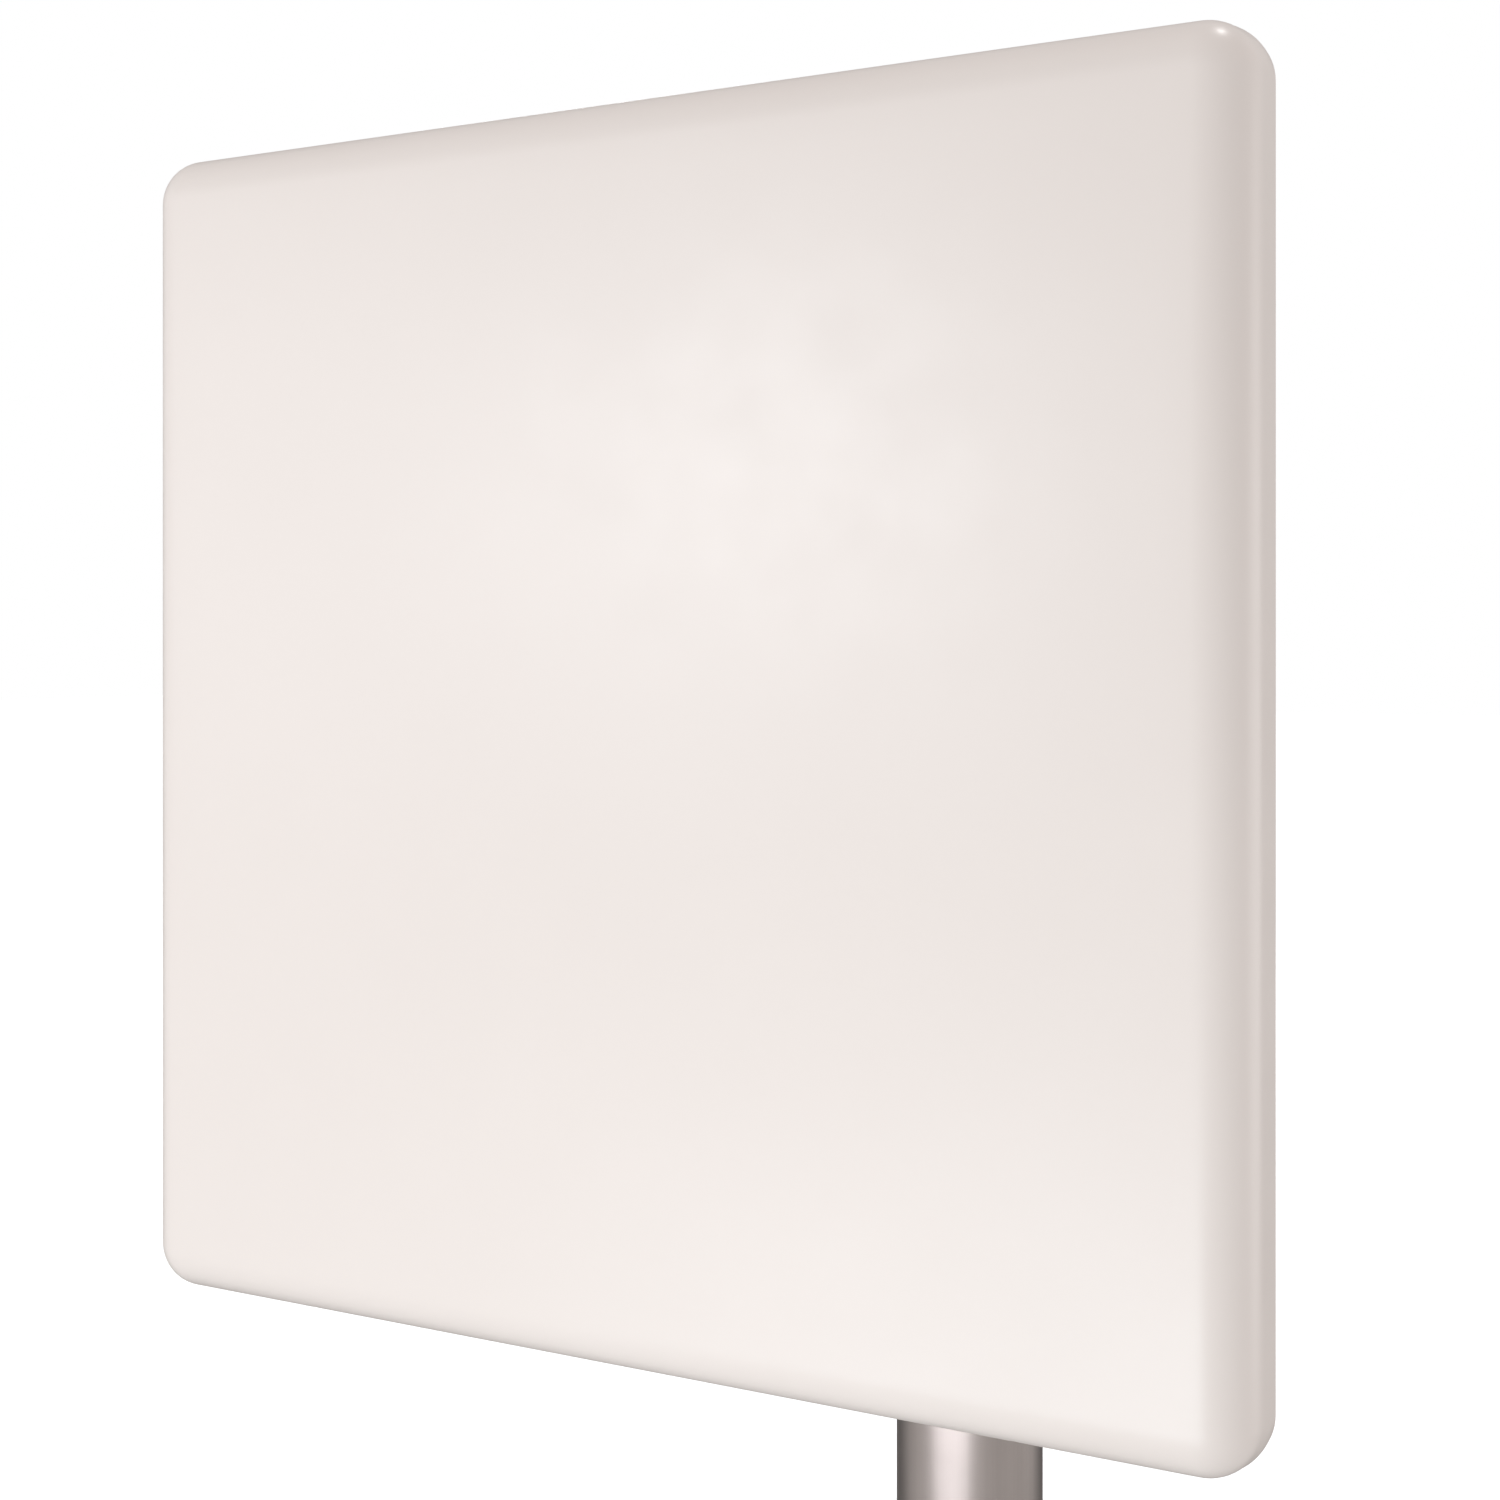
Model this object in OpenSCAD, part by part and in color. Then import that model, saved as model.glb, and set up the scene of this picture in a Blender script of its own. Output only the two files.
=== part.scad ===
// Flat panel antenna on an articulated mast bracket.
//
// Frame: the origin is the centre of the mast's lower end, +Z runs up the mast,
// and the radome faces -Y. Lengths are in millimetres.

/* [Panel] */
// Width and height of the square radome
panel_size = 340; // [335:1:345]
// Depth of the radome, from its face to its rear edge
panel_depth = 23.5; // [23:0.5:27]
// Radius of the radome's corners, seen from the front
corner_r = 13.5; // [13:0.5:15]
// Radius of the radome's front edge
edge_r = 13; // [8:0.5:13]
// Thickness of the radome's moulded wall
radome_wall = 3; // [2.5:0.1:3]
// Thickness of the aluminium back plate
plate_t = 2; // [1.5:0.1:2]
// Distance from the radome's face to the mast's axis
face_to_mast = 224; // [222:1:226]

/* [Patch array] */
// Distance between the centres of neighbouring patches
patch_pitch = 78; // [76:1:78]
// Side of one square patch
patch_size = 47; // [40:1:48]
// Width of the strips that feed the patches
feed_w = 3; // [2:0.5:4]
// Thickness of the printed board
board_t = 1.6; // [1:0.1:2]

/* [Bracket] */
// Thickness of the bracket's sheet steel
sheet_t = 3; // [2.5:0.1:3]
// Furthest that the panel tilts up or down, in degrees
tilt_limit = 30; // [10:1:30]
// Furthest that the panel swivels left or right, in degrees
swivel_limit = 45; // [10:1:45]
// Distance from the panel's rear edge to the tilt axis
tilt_behind = 45; // [44:0.5:46]
// Distance from the swivel axis to the mast's axis
swivel_ahead = 72; // [72:0.5:74]

/* [Mast] */
// Outer diameter of the mast tube
mast_d = 50.8; // [48:0.1:51]
// Wall thickness of the mast tube
mast_wall = 2.5; // [2:0.1:3]
// Length of the mast tube
mast_length = 430; // [400:5:460]
// Height of the panel's centre above the mast's lower end
panel_z = 300; // [290:1:310]

/* [Hidden] */
$fn = 48;

// Clearances
gap = 0.3;        // between faces that move past each other
snug = 0.05;      // between a screw and the hole that it fills
washer_play = 0.2;
tiny = 0.01;      // overlap of two shapes that make one solid
slot_overlap = 1; // degrees by which a slot's round ends reach into its arc
cut = 1;          // how far a cut runs past the face that it opens

// Places along Y of the main planes and axes
panel_back_y = -(face_to_mast - panel_depth);
tilt_y = panel_back_y + tilt_behind;
swivel_y = -swivel_ahead;

// Radome and back plate, as heights above the radome's rear edge plane
plate_inset = 1;
plate_top = plate_inset + plate_t;
seal_t = 1.5;
seal_top = plate_top + seal_t;
ledge_t = 5;
ledge_w = 5;
seal_w = 4;
plate_play = 0.5;
boss_r = 4.5;
boss_pitch = (panel_size - 2 * corner_r) / 4;
boss_hole_l = 14;
plate_screw_hole_r = 2.1;
weep_hole_r = 1.5;
weep_hole_x = 110;
weep_hole_z = 15;

// Board, patches and spacers
board_z = 13.4;
board_size = 301;
board_corner_r = 6;
feed_hole_r = 0.8;
feed_pad_r = 4;
copper_t = 0.2;
spacer_r = 4;
spacer_corner = 146;
jack_y = -100;    // of the feed point, below the panel's centre

// Hexagon-head sizes, as [shank radius, across flats, head height, nut height,
// washer radius, washer thickness, spring washer thickness]
M6 = [3, 10, 4, 5, 6, 1.2, 1.6];
M8 = [4, 13, 5.3, 6.5, 8, 1.6, 2];
M10 = [5, 17, 6.4, 8, 10, 2, 2.2];
hinge_bolt_l = 20;
u_rod_r = M8[0];

// M3 pan-head screws, as [shank radius, head radius, head height, length]
m3_r = 1.5;
tapped_r = m3_r - 0.1;  // of the hole that such a screw cuts its thread in
m3_shank_r = tapped_r - snug;
PLATE_SCREW = [m3_shank_r, 3.2, 2.1, 12];
BOARD_SCREW = [m3_shank_r, 2.9, 1.9, 5.5];
SPACER_SCREW = [m3_shank_r, 2.9, 1.9, 6];
JACK_SCREW = [m3_r - snug, 2.8, 2, 7.5];

// Studs on the back plate
stud_x = 25;
stud_z = 55;
stud_out = 14;    // reach behind the radome's rear edge
stud_head_r = 4.5;
stud_head_t = 1.5;

// Label on the back plate
label_w = 46;
label_h = 62;
label_t = 0.4;
label_y = 115;    // of its middle, above the panel's centre

// Jack, as heights above the radome's rear edge plane
jack_flange = 25.4;
jack_corner_r = 2;
jack_flange_t = 2.5;
jack_hole_pitch = 18.2;
jack_barrel_r = 7.94;
jack_barrel_l = 10.7;
jack_bore_r = 4.3;
jack_bore_floor = 1.5; // of the barrel's wide bore, from the flange
jack_spigot_r = 6.2;
jack_spigot_l = 7;
jack_insulator_r = 3.5;
jack_contact_r = 1.5;
jack_contact_in = 2;   // how far the contact's mouth lies inside the barrel's
jack_pin_r = 0.65;     // of the contact's solder pin, through the board
contact_step = 0.5;    // of insulator left between the contact's body and the board
contact_bore_r = 0.85;
contact_slot_w = 0.3;
contact_slot_l = 4;

// Bracket sheet parts
ear_x = 35;       // inner face of the panel bracket's ears
ear_r = 40;       // rounded end of an ear, about the tilt axis
tilt_slot_r = 30;
slot_half_w = 4.3;
bend_r = 5;
foot_h = 130;     // height of the panel bracket's foot
foot_corner_r = 6;
arm_x = ear_x - gap;
arm_plate_r = 38;
arm_web_y = tilt_y + ear_r + 2;
arm_flange_z = 45;
arm_flange_r = 24;
clamp_flange_z = arm_flange_z + gap;
clamp_flange_r = 34;
swivel_slot_r = 24;
clamp_web_y = -42; // face of the mast bracket's web that the saddles bear on
clamp_web_w = 80;
clamp_wing = 7;    // how much of the flanges is as wide as the web
spacer_tube_r = 8;
swivel_bolt_end = 3; // that shows below its nut

// Mast clamps
mast_r = mast_d / 2;
u_bend_r = mast_r + gap + u_rod_r;
u_leg_y = -64;
u_hole_play = 0.4;
u_bolt_z = 30;
saddle_w = 76;
saddle_h = 16;
saddle_y = -20;
saddle_half_angle = 60; // between the V's middle plane and each flank
tooth_depth = 1;
tooth_count = 6;
socket_depth = 60; // of the reamed socket in the mast's lower end
socket_step = 0.5;
cap_plug_l = 15;
cap_wall = 2;
cap_head_t = 4;
cap_bevel = 3;

// ---------- flat outlines ----------

// A square with rounded corners, centred on the origin.
module rounded_square(width, height, r) {
    union() {
        square([width - 2 * r, height], center = true);
        square([width, height - 2 * r], center = true);
        for (x = [-1, 1], y = [-1, 1])
            translate([x * (width / 2 - r), y * (height / 2 - r)]) circle(r);
    }
}

// An arc slot about the origin, centred on the +X direction.
module arc_slot(r, half_w, half_angle) {
    reach = 2 * r;
    difference() {
        circle(r + half_w);
        circle(r - half_w);
        for (side = [-1, 1])
            rotate(side * (half_angle - slot_overlap)) translate([-reach, side > 0 ? 0 : -reach])
                square([2 * reach, reach]);
    }
    for (side = [-1, 1]) rotate(side * half_angle) translate([r, 0]) circle(half_w);
}

// The cross-section of a sheet folded into a U: its web lies on the X axis from -w/2 to w/2
// and its two legs run along +Y to depth d. w is the outer width.
module u_section(w, d, t) {
    difference() {
        union() {
            translate([-w / 2, bend_r]) square([w, d - bend_r]);
            translate([-w / 2 + bend_r, 0]) square([w - 2 * bend_r, bend_r + tiny]);
            for (x = [-1, 1]) translate([x * (w / 2 - bend_r), bend_r]) circle(bend_r);
        }
        translate([-w / 2 + t, bend_r]) square([w - 2 * t, d]);
        translate([-w / 2 + bend_r, t]) square([w - 2 * bend_r, bend_r]);
        for (x = [-1, 1]) translate([x * (w / 2 - bend_r), bend_r]) circle(bend_r - t);
    }
}

// The cut for a round hole through something that is h high and stands on z = 0.
module bore(r, h) {
    translate([0, 0, -cut]) cylinder(r = r, h = h + 2 * cut);
}

// ---------- fasteners, each along +Z from z = 0 ----------

// A hexagonal prism whose rim is chamfered at its far end, or at both ends.
module hex_prism(across_flats, h, both = false) {
    corner = across_flats / sqrt(3);
    flat = across_flats / 2;
    c = (corner - flat) * 0.6;
    intersection() {
        cylinder(r = corner, h = h, $fn = 6);
        rotate_extrude()
            polygon([
                [0, 0], [both ? flat : corner, 0], [corner, both ? c : 0],
                [corner, h - c], [flat, h], [0, h]
            ]);
    }
}

// A hexagon-head screw: its head stands on z = 0 and its shank goes down from there.
module hex_bolt(size, shank) {
    hex_prism(size[1], size[2]);
    translate([0, 0, -shank]) cylinder(r = size[0], h = shank);
}

module hex_nut(size) {
    difference() {
        hex_prism(size[1], size[3], both = true);
        bore(size[0] + snug, size[3]);
    }
}

module flat_washer(size) {
    difference() {
        cylinder(r = size[4], h = size[5]);
        bore(size[0] + washer_play, size[5]);
    }
}

// A split spring washer.
module spring_washer(size) {
    outer_r = size[0] * 1.75;
    split = 1.2;
    difference() {
        cylinder(r = outer_r, h = size[6]);
        bore(size[0] + washer_play, size[6]);
        translate([0, -split / 2, -cut]) rotate(12)
            cube([outer_r + cut, split, size[6] + 2 * cut]);
    }
}

// A pan-head screw: its head stands on z = 0, with a cross recess, and its shank goes down.
module pan_screw(size) {
    head_r = size[1];
    head_h = size[2];
    slot_w = head_r * 0.32;
    slot_l = head_r * 1.15;
    difference() {
        union() {
            cylinder(r1 = head_r, r2 = head_r * 0.72, h = head_h);
            translate([0, 0, -size[3]]) cylinder(r = size[0], h = size[3] + tiny);
        }
        for (a = [0, 90]) rotate(a)
            translate([-slot_l / 2, -slot_w / 2, head_h * 0.35])
                cube([slot_l, slot_w, head_h]);
    }
}

// ---------- places ----------

// Panel frame: x to the right, y up, z = 0 on the radome's rear edge and +z to its face.
module in_panel() {
    translate([0, panel_back_y, panel_z]) rotate([90, 0, 0]) children();
}

// Sixteen screws round the panel, over the radome's bosses.
module at_bosses() {
    for (i = [-2:2], j = [-2:2])
        if (max(abs(i), abs(j)) == 2)
            translate([i * boss_pitch, j * boss_pitch, 0]) children();
}

// Board spacers: at four corners, and under the middles of eight outer patches.
module at_spacers() {
    inner = patch_pitch / 2;
    outer = 1.5 * patch_pitch;
    for (sx = [-1, 1], sy = [-1, 1]) {
        translate([sx * spacer_corner, sy * spacer_corner, 0]) children();
        translate([sx * outer, sy * inner, 0]) children();
        translate([sx * inner, sy * outer, 0]) children();
    }
}

module at_studs() {
    for (sx = [-1, 1], sy = [-1, 1]) translate([sx * stud_x, sy * stud_z, 0]) children();
}

module at_jack_screws() {
    for (sx = [-1, 1], sy = [-1, 1])
        translate([sx * jack_hole_pitch / 2, jack_y + sy * jack_hole_pitch / 2, 0]) children();
}

// Each side of the tilt hinge, with +Z pointing out of the bracket and the origin on the
// outer face of the ear; up is how far above the tilt axis.
module at_tilt_sides(up) {
    for (side = [-1, 1])
        translate([side * (ear_x + sheet_t), tilt_y, panel_z + up])
            rotate([0, side * 90, 0]) children();
}

// Above and below the swivel flanges, with +Z pointing out of the bracket and the origin
// on the outer face of the mast bracket's flange; ahead is how far in front of the axis.
module at_swivel_ends(ahead) {
    for (side = [-1, 1])
        translate([0, swivel_y - ahead, panel_z + side * (clamp_flange_z + sheet_t)])
            rotate([side > 0 ? 0 : 180, 0, 0]) children();
}

// Each leg of both U-bolts, with +Z pointing to the panel and the origin on the front face
// of the mast bracket's web.
module at_u_legs() {
    for (sx = [-1, 1], sz = [-1, 1])
        translate([sx * u_bend_r, clamp_web_y - sheet_t, panel_z + sz * u_bolt_z])
            rotate([90, 0, 0]) children();
}

// ---------- panel ----------

// A filled cross-section r wide and h high whose outer top corner is rounded.
module rim_fill(r, h, round_r) {
    intersection() {
        square([r, h]);
        union() {
            square([r, h - round_r]);
            square([r - round_r, h]);
            translate([r - round_r, h - round_r]) circle(round_r);
        }
    }
}

// The radome's wall beyond its corner axis, with the ledge that carries the seal.
module rim_section() {
    inner_r = corner_r - radome_wall;
    difference() {
        rim_fill(corner_r, panel_depth, edge_r);
        translate([0, -cut])
            rim_fill(inner_r, panel_depth - radome_wall + cut, edge_r - radome_wall);
    }
    translate([inner_r - ledge_w, seal_top]) square([ledge_w + tiny, ledge_t]);
}

module radome() {
    side = panel_size - 2 * corner_r;
    color("white") in_panel() difference() {
        union() {
            for (i = [0:3]) rotate(90 * i) {
                translate([side / 2, side / 2]) rotate_extrude(angle = 90) rim_section();
                translate([side / 2, side / 2]) rotate([90, 0, 0])
                    linear_extrude(side) rim_section();
            }
            translate([-side / 2, -side / 2, panel_depth - radome_wall])
                cube([side, side, radome_wall]);
            at_bosses() translate([0, 0, plate_top])
                cylinder(r = boss_r, h = panel_depth - radome_wall - plate_top + tiny);
        }
        at_bosses() translate([0, 0, plate_top - cut])
            cylinder(r = tapped_r, h = boss_hole_l + cut);
        for (sx = [-1, 1]) translate([sx * weep_hole_x, -panel_size / 2, weep_hole_z])
            rotate([-90, 0, 0]) bore(weep_hole_r, radome_wall);
    }
}

module seal_ring() {
    outer = panel_size - 2 * radome_wall - 2 * plate_play;
    inner = outer - 2 * seal_w;
    outer_r = corner_r - radome_wall - plate_play;
    color("dimgray") in_panel() translate([0, 0, plate_top]) linear_extrude(seal_t)
        difference() {
            rounded_square(outer, outer, outer_r);
            rounded_square(inner, inner, outer_r - seal_w);
        }
}

module back_plate() {
    w = panel_size - 2 * radome_wall - 2 * plate_play;
    color("silver") in_panel() translate([0, 0, plate_inset]) difference() {
        linear_extrude(plate_t) rounded_square(w, w, corner_r - radome_wall - plate_play);
        at_bosses() bore(plate_screw_hole_r, plate_t);
        at_spacers() bore(m3_r + 0.1, plate_t);
        at_studs() bore(M6[0] + snug, plate_t);
        at_jack_screws() bore(m3_r, plate_t);
        translate([0, jack_y, 0]) bore(jack_spigot_r + gap, plate_t);
    }
}

module back_plate_screws() {
    color("lightgray") in_panel() at_bosses() translate([0, 0, plate_inset])
        rotate([180, 0, 0]) pan_screw(PLATE_SCREW);
}

// ---------- patch array and feed ----------

module patch_board() {
    color("darkkhaki") in_panel() translate([0, 0, board_z]) difference() {
        linear_extrude(board_t) rounded_square(board_size, board_size, board_corner_r);
        at_spacers() bore(m3_r + 0.1, board_t);
        translate([0, jack_y, 0]) bore(feed_hole_r, board_t);
    }
}

// One feed strip between two points on the board.
module strip(a, b) {
    low = [min(a[0], b[0]), min(a[1], b[1])] - [feed_w, feed_w] / 2;
    high = [max(a[0], b[0]), max(a[1], b[1])] + [feed_w, feed_w] / 2;
    translate(low) square(high - low);
}

// The copper side of one quarter of the array: four patches round the end of a feed branch.
module patch_group() {
    half = patch_pitch / 2;
    strip([-half, 0], [half, 0]);
    for (sx = [-1, 1], sy = [-1, 1]) {
        strip([sx * half, 0], [sx * half, sy * (half - patch_size / 4)]);
        translate([sx * half, sy * half]) square(patch_size, center = true);
    }
}

module patch_copper() {
    color("peru") in_panel() translate([0, 0, board_z + board_t]) difference() {
        linear_extrude(copper_t) union() {
            for (sx = [-1, 1]) {
                for (sy = [-1, 1])
                    translate([sx, sy] * patch_pitch) patch_group();
                strip([sx * patch_pitch, -patch_pitch], [sx * patch_pitch, patch_pitch]);
            }
            strip([-patch_pitch, 0], [patch_pitch, 0]);
            strip([0, jack_y], [0, 0]);
            translate([0, jack_y]) circle(feed_pad_r);
        }
        at_spacers() bore(m3_r + 0.1, copper_t);
        translate([0, jack_y, 0]) bore(feed_hole_r, copper_t);
    }
}

module board_spacers() {
    color("ivory") in_panel() at_spacers() translate([0, 0, plate_top]) difference() {
        cylinder(r = spacer_r, h = board_z - plate_top);
        bore(tapped_r, board_z - plate_top);
    }
}

module board_screws() {
    color("ivory") in_panel() at_spacers() translate([0, 0, board_z + board_t + copper_t])
        pan_screw(BOARD_SCREW);
}

module spacer_screws() {
    color("lightgray") in_panel() at_spacers() translate([0, 0, plate_inset])
        rotate([180, 0, 0]) pan_screw(SPACER_SCREW);
}

// ---------- coaxial jack ----------

// A square flange with four screw holes, t thick, centred on the jack's axis.
module jack_plate(t) {
    difference() {
        translate([0, jack_y, 0]) linear_extrude(t)
            rounded_square(jack_flange, jack_flange, jack_corner_r);
        at_jack_screws() bore(m3_r + 0.1, t);
    }
}

module jack_body() {
    mouth = -jack_flange_t - jack_barrel_l;
    color("gainsboro") in_panel() difference() {
        union() {
            translate([0, 0, -jack_flange_t]) jack_plate(jack_flange_t);
            translate([0, jack_y, mouth]) cylinder(r = jack_barrel_r, h = jack_barrel_l);
            translate([0, jack_y, 0]) cylinder(r = jack_spigot_r, h = jack_spigot_l);
        }
        translate([0, jack_y, mouth - cut])
            cylinder(r = jack_bore_r, h = jack_barrel_l - jack_bore_floor + cut);
        translate([0, jack_y, mouth]) bore(jack_insulator_r, jack_spigot_l - mouth);
    }
}

module jack_insulator() {
    bottom = -jack_flange_t - jack_bore_floor;
    h = board_z - bottom;
    color("white") in_panel() translate([0, jack_y, bottom]) difference() {
        cylinder(r = jack_insulator_r - snug, h = h);
        translate([0, 0, -cut]) cylinder(r = jack_contact_r, h = h - contact_step + cut);
        bore(jack_pin_r + snug, h);
    }
}

module jack_contact() {
    mouth = -jack_flange_t - jack_barrel_l + jack_contact_in;
    pin_top = board_z + board_t + copper_t + feed_hole_r;
    color("gold") in_panel() translate([0, jack_y, mouth]) difference() {
        union() {
            cylinder(r = jack_contact_r - snug, h = board_z - contact_step - mouth);
            cylinder(r = jack_pin_r, h = pin_top - mouth);
        }
        translate([0, 0, -cut]) cylinder(r = contact_bore_r, h = contact_slot_l + 2 * cut);
        for (a = [0, 90]) rotate(a) translate([-jack_contact_r, -contact_slot_w / 2, -cut])
            cube([2 * jack_contact_r, contact_slot_w, contact_slot_l + cut]);
    }
}

module jack_gasket() {
    color("black") in_panel() difference() {
        jack_plate(plate_inset);
        translate([0, jack_y, 0]) bore(jack_spigot_r + gap, plate_inset);
    }
}

module jack_screws() {
    color("lightgray") in_panel() at_jack_screws() translate([0, 0, -jack_flange_t])
        rotate([180, 0, 0]) pan_screw(JACK_SCREW);
}

// ---------- studs that carry the panel bracket ----------

module mounting_studs() {
    color("silver") in_panel() at_studs() {
        translate([0, 0, plate_top]) cylinder(r = stud_head_r, h = stud_head_t);
        translate([0, 0, -stud_out]) cylinder(r = M6[0], h = stud_out + plate_top + tiny);
    }
}

// Things that sit on the panel bracket's foot, facing away from the panel.
module on_foot(height) {
    in_panel() at_studs() translate([0, 0, plate_inset - sheet_t - height])
        rotate([180, 0, 0]) children();
}

module stud_washers() {
    color("silver") on_foot(0) flat_washer(M6);
}

module stud_spring_washers() {
    color("silver") on_foot(M6[5]) spring_washer(M6);
}

module stud_nuts() {
    color("silver") on_foot(M6[5] + M6[6]) hex_nut(M6);
}

// A blank label with an upward arrow cut out of it, which shows the polarisation.
module polarity_label() {
    arrow_l = 40;
    arrow_w = 18;
    shaft_w = 4;
    shaft_l = 26;
    color("whitesmoke") in_panel() translate([0, label_y, plate_inset - label_t])
        linear_extrude(label_t) difference() {
            rounded_square(label_w, label_h, 3);
            translate([0, -arrow_l / 2]) {
                translate([-shaft_w / 2, 0]) square([shaft_w, shaft_l]);
                polygon([[-arrow_w / 2, shaft_l], [arrow_w / 2, shaft_l], [0, arrow_l]]);
            }
        }
}

// ---------- tilt bracket ----------

// A side plate seen along X: Y to the panel's rear and Z up, rounded about the tilt axis.
// It is drawn with x = distance behind the tilt axis and y = height above it.
module ear_outline() {
    reach = tilt_behind - plate_inset + sheet_t;
    circle(ear_r);
    translate([-reach, -ear_r]) square([reach, 2 * ear_r]);
}

// Turns an outline in the (Y, Z) plane into a slab across X.
module across_x(width) {
    rotate([90, 0, 90]) translate([0, 0, -width / 2]) linear_extrude(width) children();
}

module panel_bracket() {
    w = 2 * (ear_x + sheet_t);
    foot_y = panel_back_y - plate_inset;
    reach = tilt_y - foot_y + ear_r;
    color("lightslategray") difference() {
        union() {
            intersection() {
                translate([0, foot_y, panel_z - ear_r])
                    linear_extrude(2 * ear_r) u_section(w, reach, sheet_t);
                translate([0, tilt_y, panel_z]) across_x(w + 2) ear_outline();
            }
            translate([0, foot_y, panel_z]) rotate([-90, 0, 0])
                linear_extrude(sheet_t) rounded_square(w - 2 * bend_r, foot_h, foot_corner_r);
        }
        translate([0, tilt_y, panel_z]) across_x(w + 2) {
            circle(M8[0] + snug);
            rotate(90) arc_slot(tilt_slot_r, slot_half_w, tilt_limit + 0.5);
        }
        in_panel() translate([0, 0, plate_inset - sheet_t]) at_studs()
            bore(M6[0] + gap, sheet_t);
    }
}

// Screws, washers and nuts of the tilt hinge. They turn with the arm.
module tilt_bolts(up) {
    at_tilt_sides(up) translate([0, 0, gap + M8[5]]) hex_bolt(M8, hinge_bolt_l);
}

module tilt_washers(up) {
    at_tilt_sides(up) {
        translate([0, 0, gap]) flat_washer(M8);
        translate([0, 0, -2 * sheet_t - gap - M8[5]]) flat_washer(M8);
    }
}

module tilt_nuts(up) {
    at_tilt_sides(up) translate([0, 0, -2 * sheet_t - gap - M8[5] - M8[3]]) hex_nut(M8);
}

module tilt_pivot_bolts() {
    color("silver") tilt_bolts(0);
}

module tilt_pivot_washers() {
    color("silver") tilt_washers(0);
}

module tilt_pivot_nuts() {
    color("silver") tilt_nuts(0);
}

module tilt_lock_bolts() {
    color("silver") tilt_bolts(tilt_slot_r);
}

module tilt_lock_washers() {
    color("silver") tilt_washers(tilt_slot_r);
}

module tilt_lock_nuts() {
    color("silver") tilt_nuts(tilt_slot_r);
}

// ---------- swivel arm: two channels welded back to back ----------

module arm_front_outline() {
    reach = arm_web_y + sheet_t - tilt_y;
    circle(arm_plate_r);
    translate([0, -arm_plate_r]) square([reach, 2 * arm_plate_r]);
}

module swivel_arm() {
    w = 2 * arm_x;
    h = 2 * arm_flange_z;
    front_reach = arm_web_y + sheet_t - tilt_y + arm_plate_r;
    back_reach = swivel_y - arm_web_y - sheet_t + arm_flange_r;
    color("lightslategray") difference() {
        union() {
            intersection() {
                translate([0, arm_web_y + sheet_t, panel_z - arm_plate_r])
                    linear_extrude(2 * arm_plate_r) mirror([0, 1]) u_section(w, front_reach, sheet_t);
                translate([0, tilt_y, panel_z]) across_x(w + 2) arm_front_outline();
            }
            intersection() {
                translate([0, arm_web_y + sheet_t, panel_z]) across_x(2 * arm_flange_r)
                    rotate(-90) u_section(h, back_reach, sheet_t);
                translate([0, swivel_y, panel_z - h]) linear_extrude(2 * h) {
                    circle(arm_flange_r);
                    translate([-arm_flange_r, -2 * ear_r]) square([2 * arm_flange_r, 2 * ear_r]);
                }
            }
        }
        translate([0, tilt_y, panel_z]) across_x(w + 2) {
            circle(M8[0] + snug);
            translate([0, tilt_slot_r]) circle(M8[0] + snug);
        }
        translate([0, swivel_y, panel_z - h]) cylinder(r = M10[0] + snug, h = 2 * h);
        translate([0, swivel_y - swivel_slot_r, panel_z - h]) cylinder(r = M8[0] + snug, h = 2 * h);
    }
}

module swivel_spacer() {
    h = 2 * (arm_flange_z - sheet_t);
    color("silver") translate([0, swivel_y, panel_z - h / 2]) difference() {
        cylinder(r = spacer_tube_r, h = h);
        bore(M10[0] + snug, h);
    }
}

module swivel_lock_bolts() {
    color("silver") at_swivel_ends(swivel_slot_r) translate([0, 0, gap + M8[5]])
        hex_bolt(M8, hinge_bolt_l);
}

module swivel_lock_washers() {
    color("silver") at_swivel_ends(swivel_slot_r) {
        translate([0, 0, gap]) flat_washer(M8);
        translate([0, 0, -2 * sheet_t - gap - M8[5]]) flat_washer(M8);
    }
}

module swivel_lock_nuts() {
    color("silver") at_swivel_ends(swivel_slot_r)
        translate([0, 0, -2 * sheet_t - gap - M8[5] - M8[3]]) hex_nut(M8);
}

// ---------- mast bracket and clamps ----------

module mast_bracket() {
    h = 2 * (clamp_flange_z + sheet_t);
    reach = clamp_web_y - swivel_y + clamp_flange_r;
    color("lightslategray") difference() {
        intersection() {
            translate([0, clamp_web_y, panel_z]) across_x(clamp_web_w)
                rotate(90) u_section(h, reach, sheet_t);
            translate([0, swivel_y, panel_z - h]) linear_extrude(2 * h) {
                circle(clamp_flange_r);
                translate([-clamp_flange_r, 0]) square([2 * clamp_flange_r, swivel_ahead]);
                translate([-clamp_web_w / 2, clamp_web_y - clamp_wing - swivel_y])
                    square([clamp_web_w, swivel_ahead]);
            }
        }
        translate([0, swivel_y, panel_z - h]) cylinder(r = M10[0] + snug, h = 2 * h);
        translate([0, swivel_y, panel_z - h]) linear_extrude(2 * h)
            rotate(-90) arc_slot(swivel_slot_r, slot_half_w, swivel_limit + 0.5);
        at_u_legs() translate([0, 0, -sheet_t]) bore(u_rod_r + u_hole_play, sheet_t);
    }
}

module swivel_bolt() {
    top = clamp_flange_z + sheet_t + M10[5];
    color("silver") translate([0, swivel_y, panel_z + top])
        hex_bolt(M10, 2 * top + M10[3] + swivel_bolt_end);
}

module swivel_washers() {
    color("silver") at_swivel_ends(0) flat_washer(M10);
}

module swivel_nut() {
    color("silver") translate([0, swivel_y, panel_z - clamp_flange_z - sheet_t - M10[5]])
        rotate([180, 0, 0]) hex_nut(M10);
}

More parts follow.
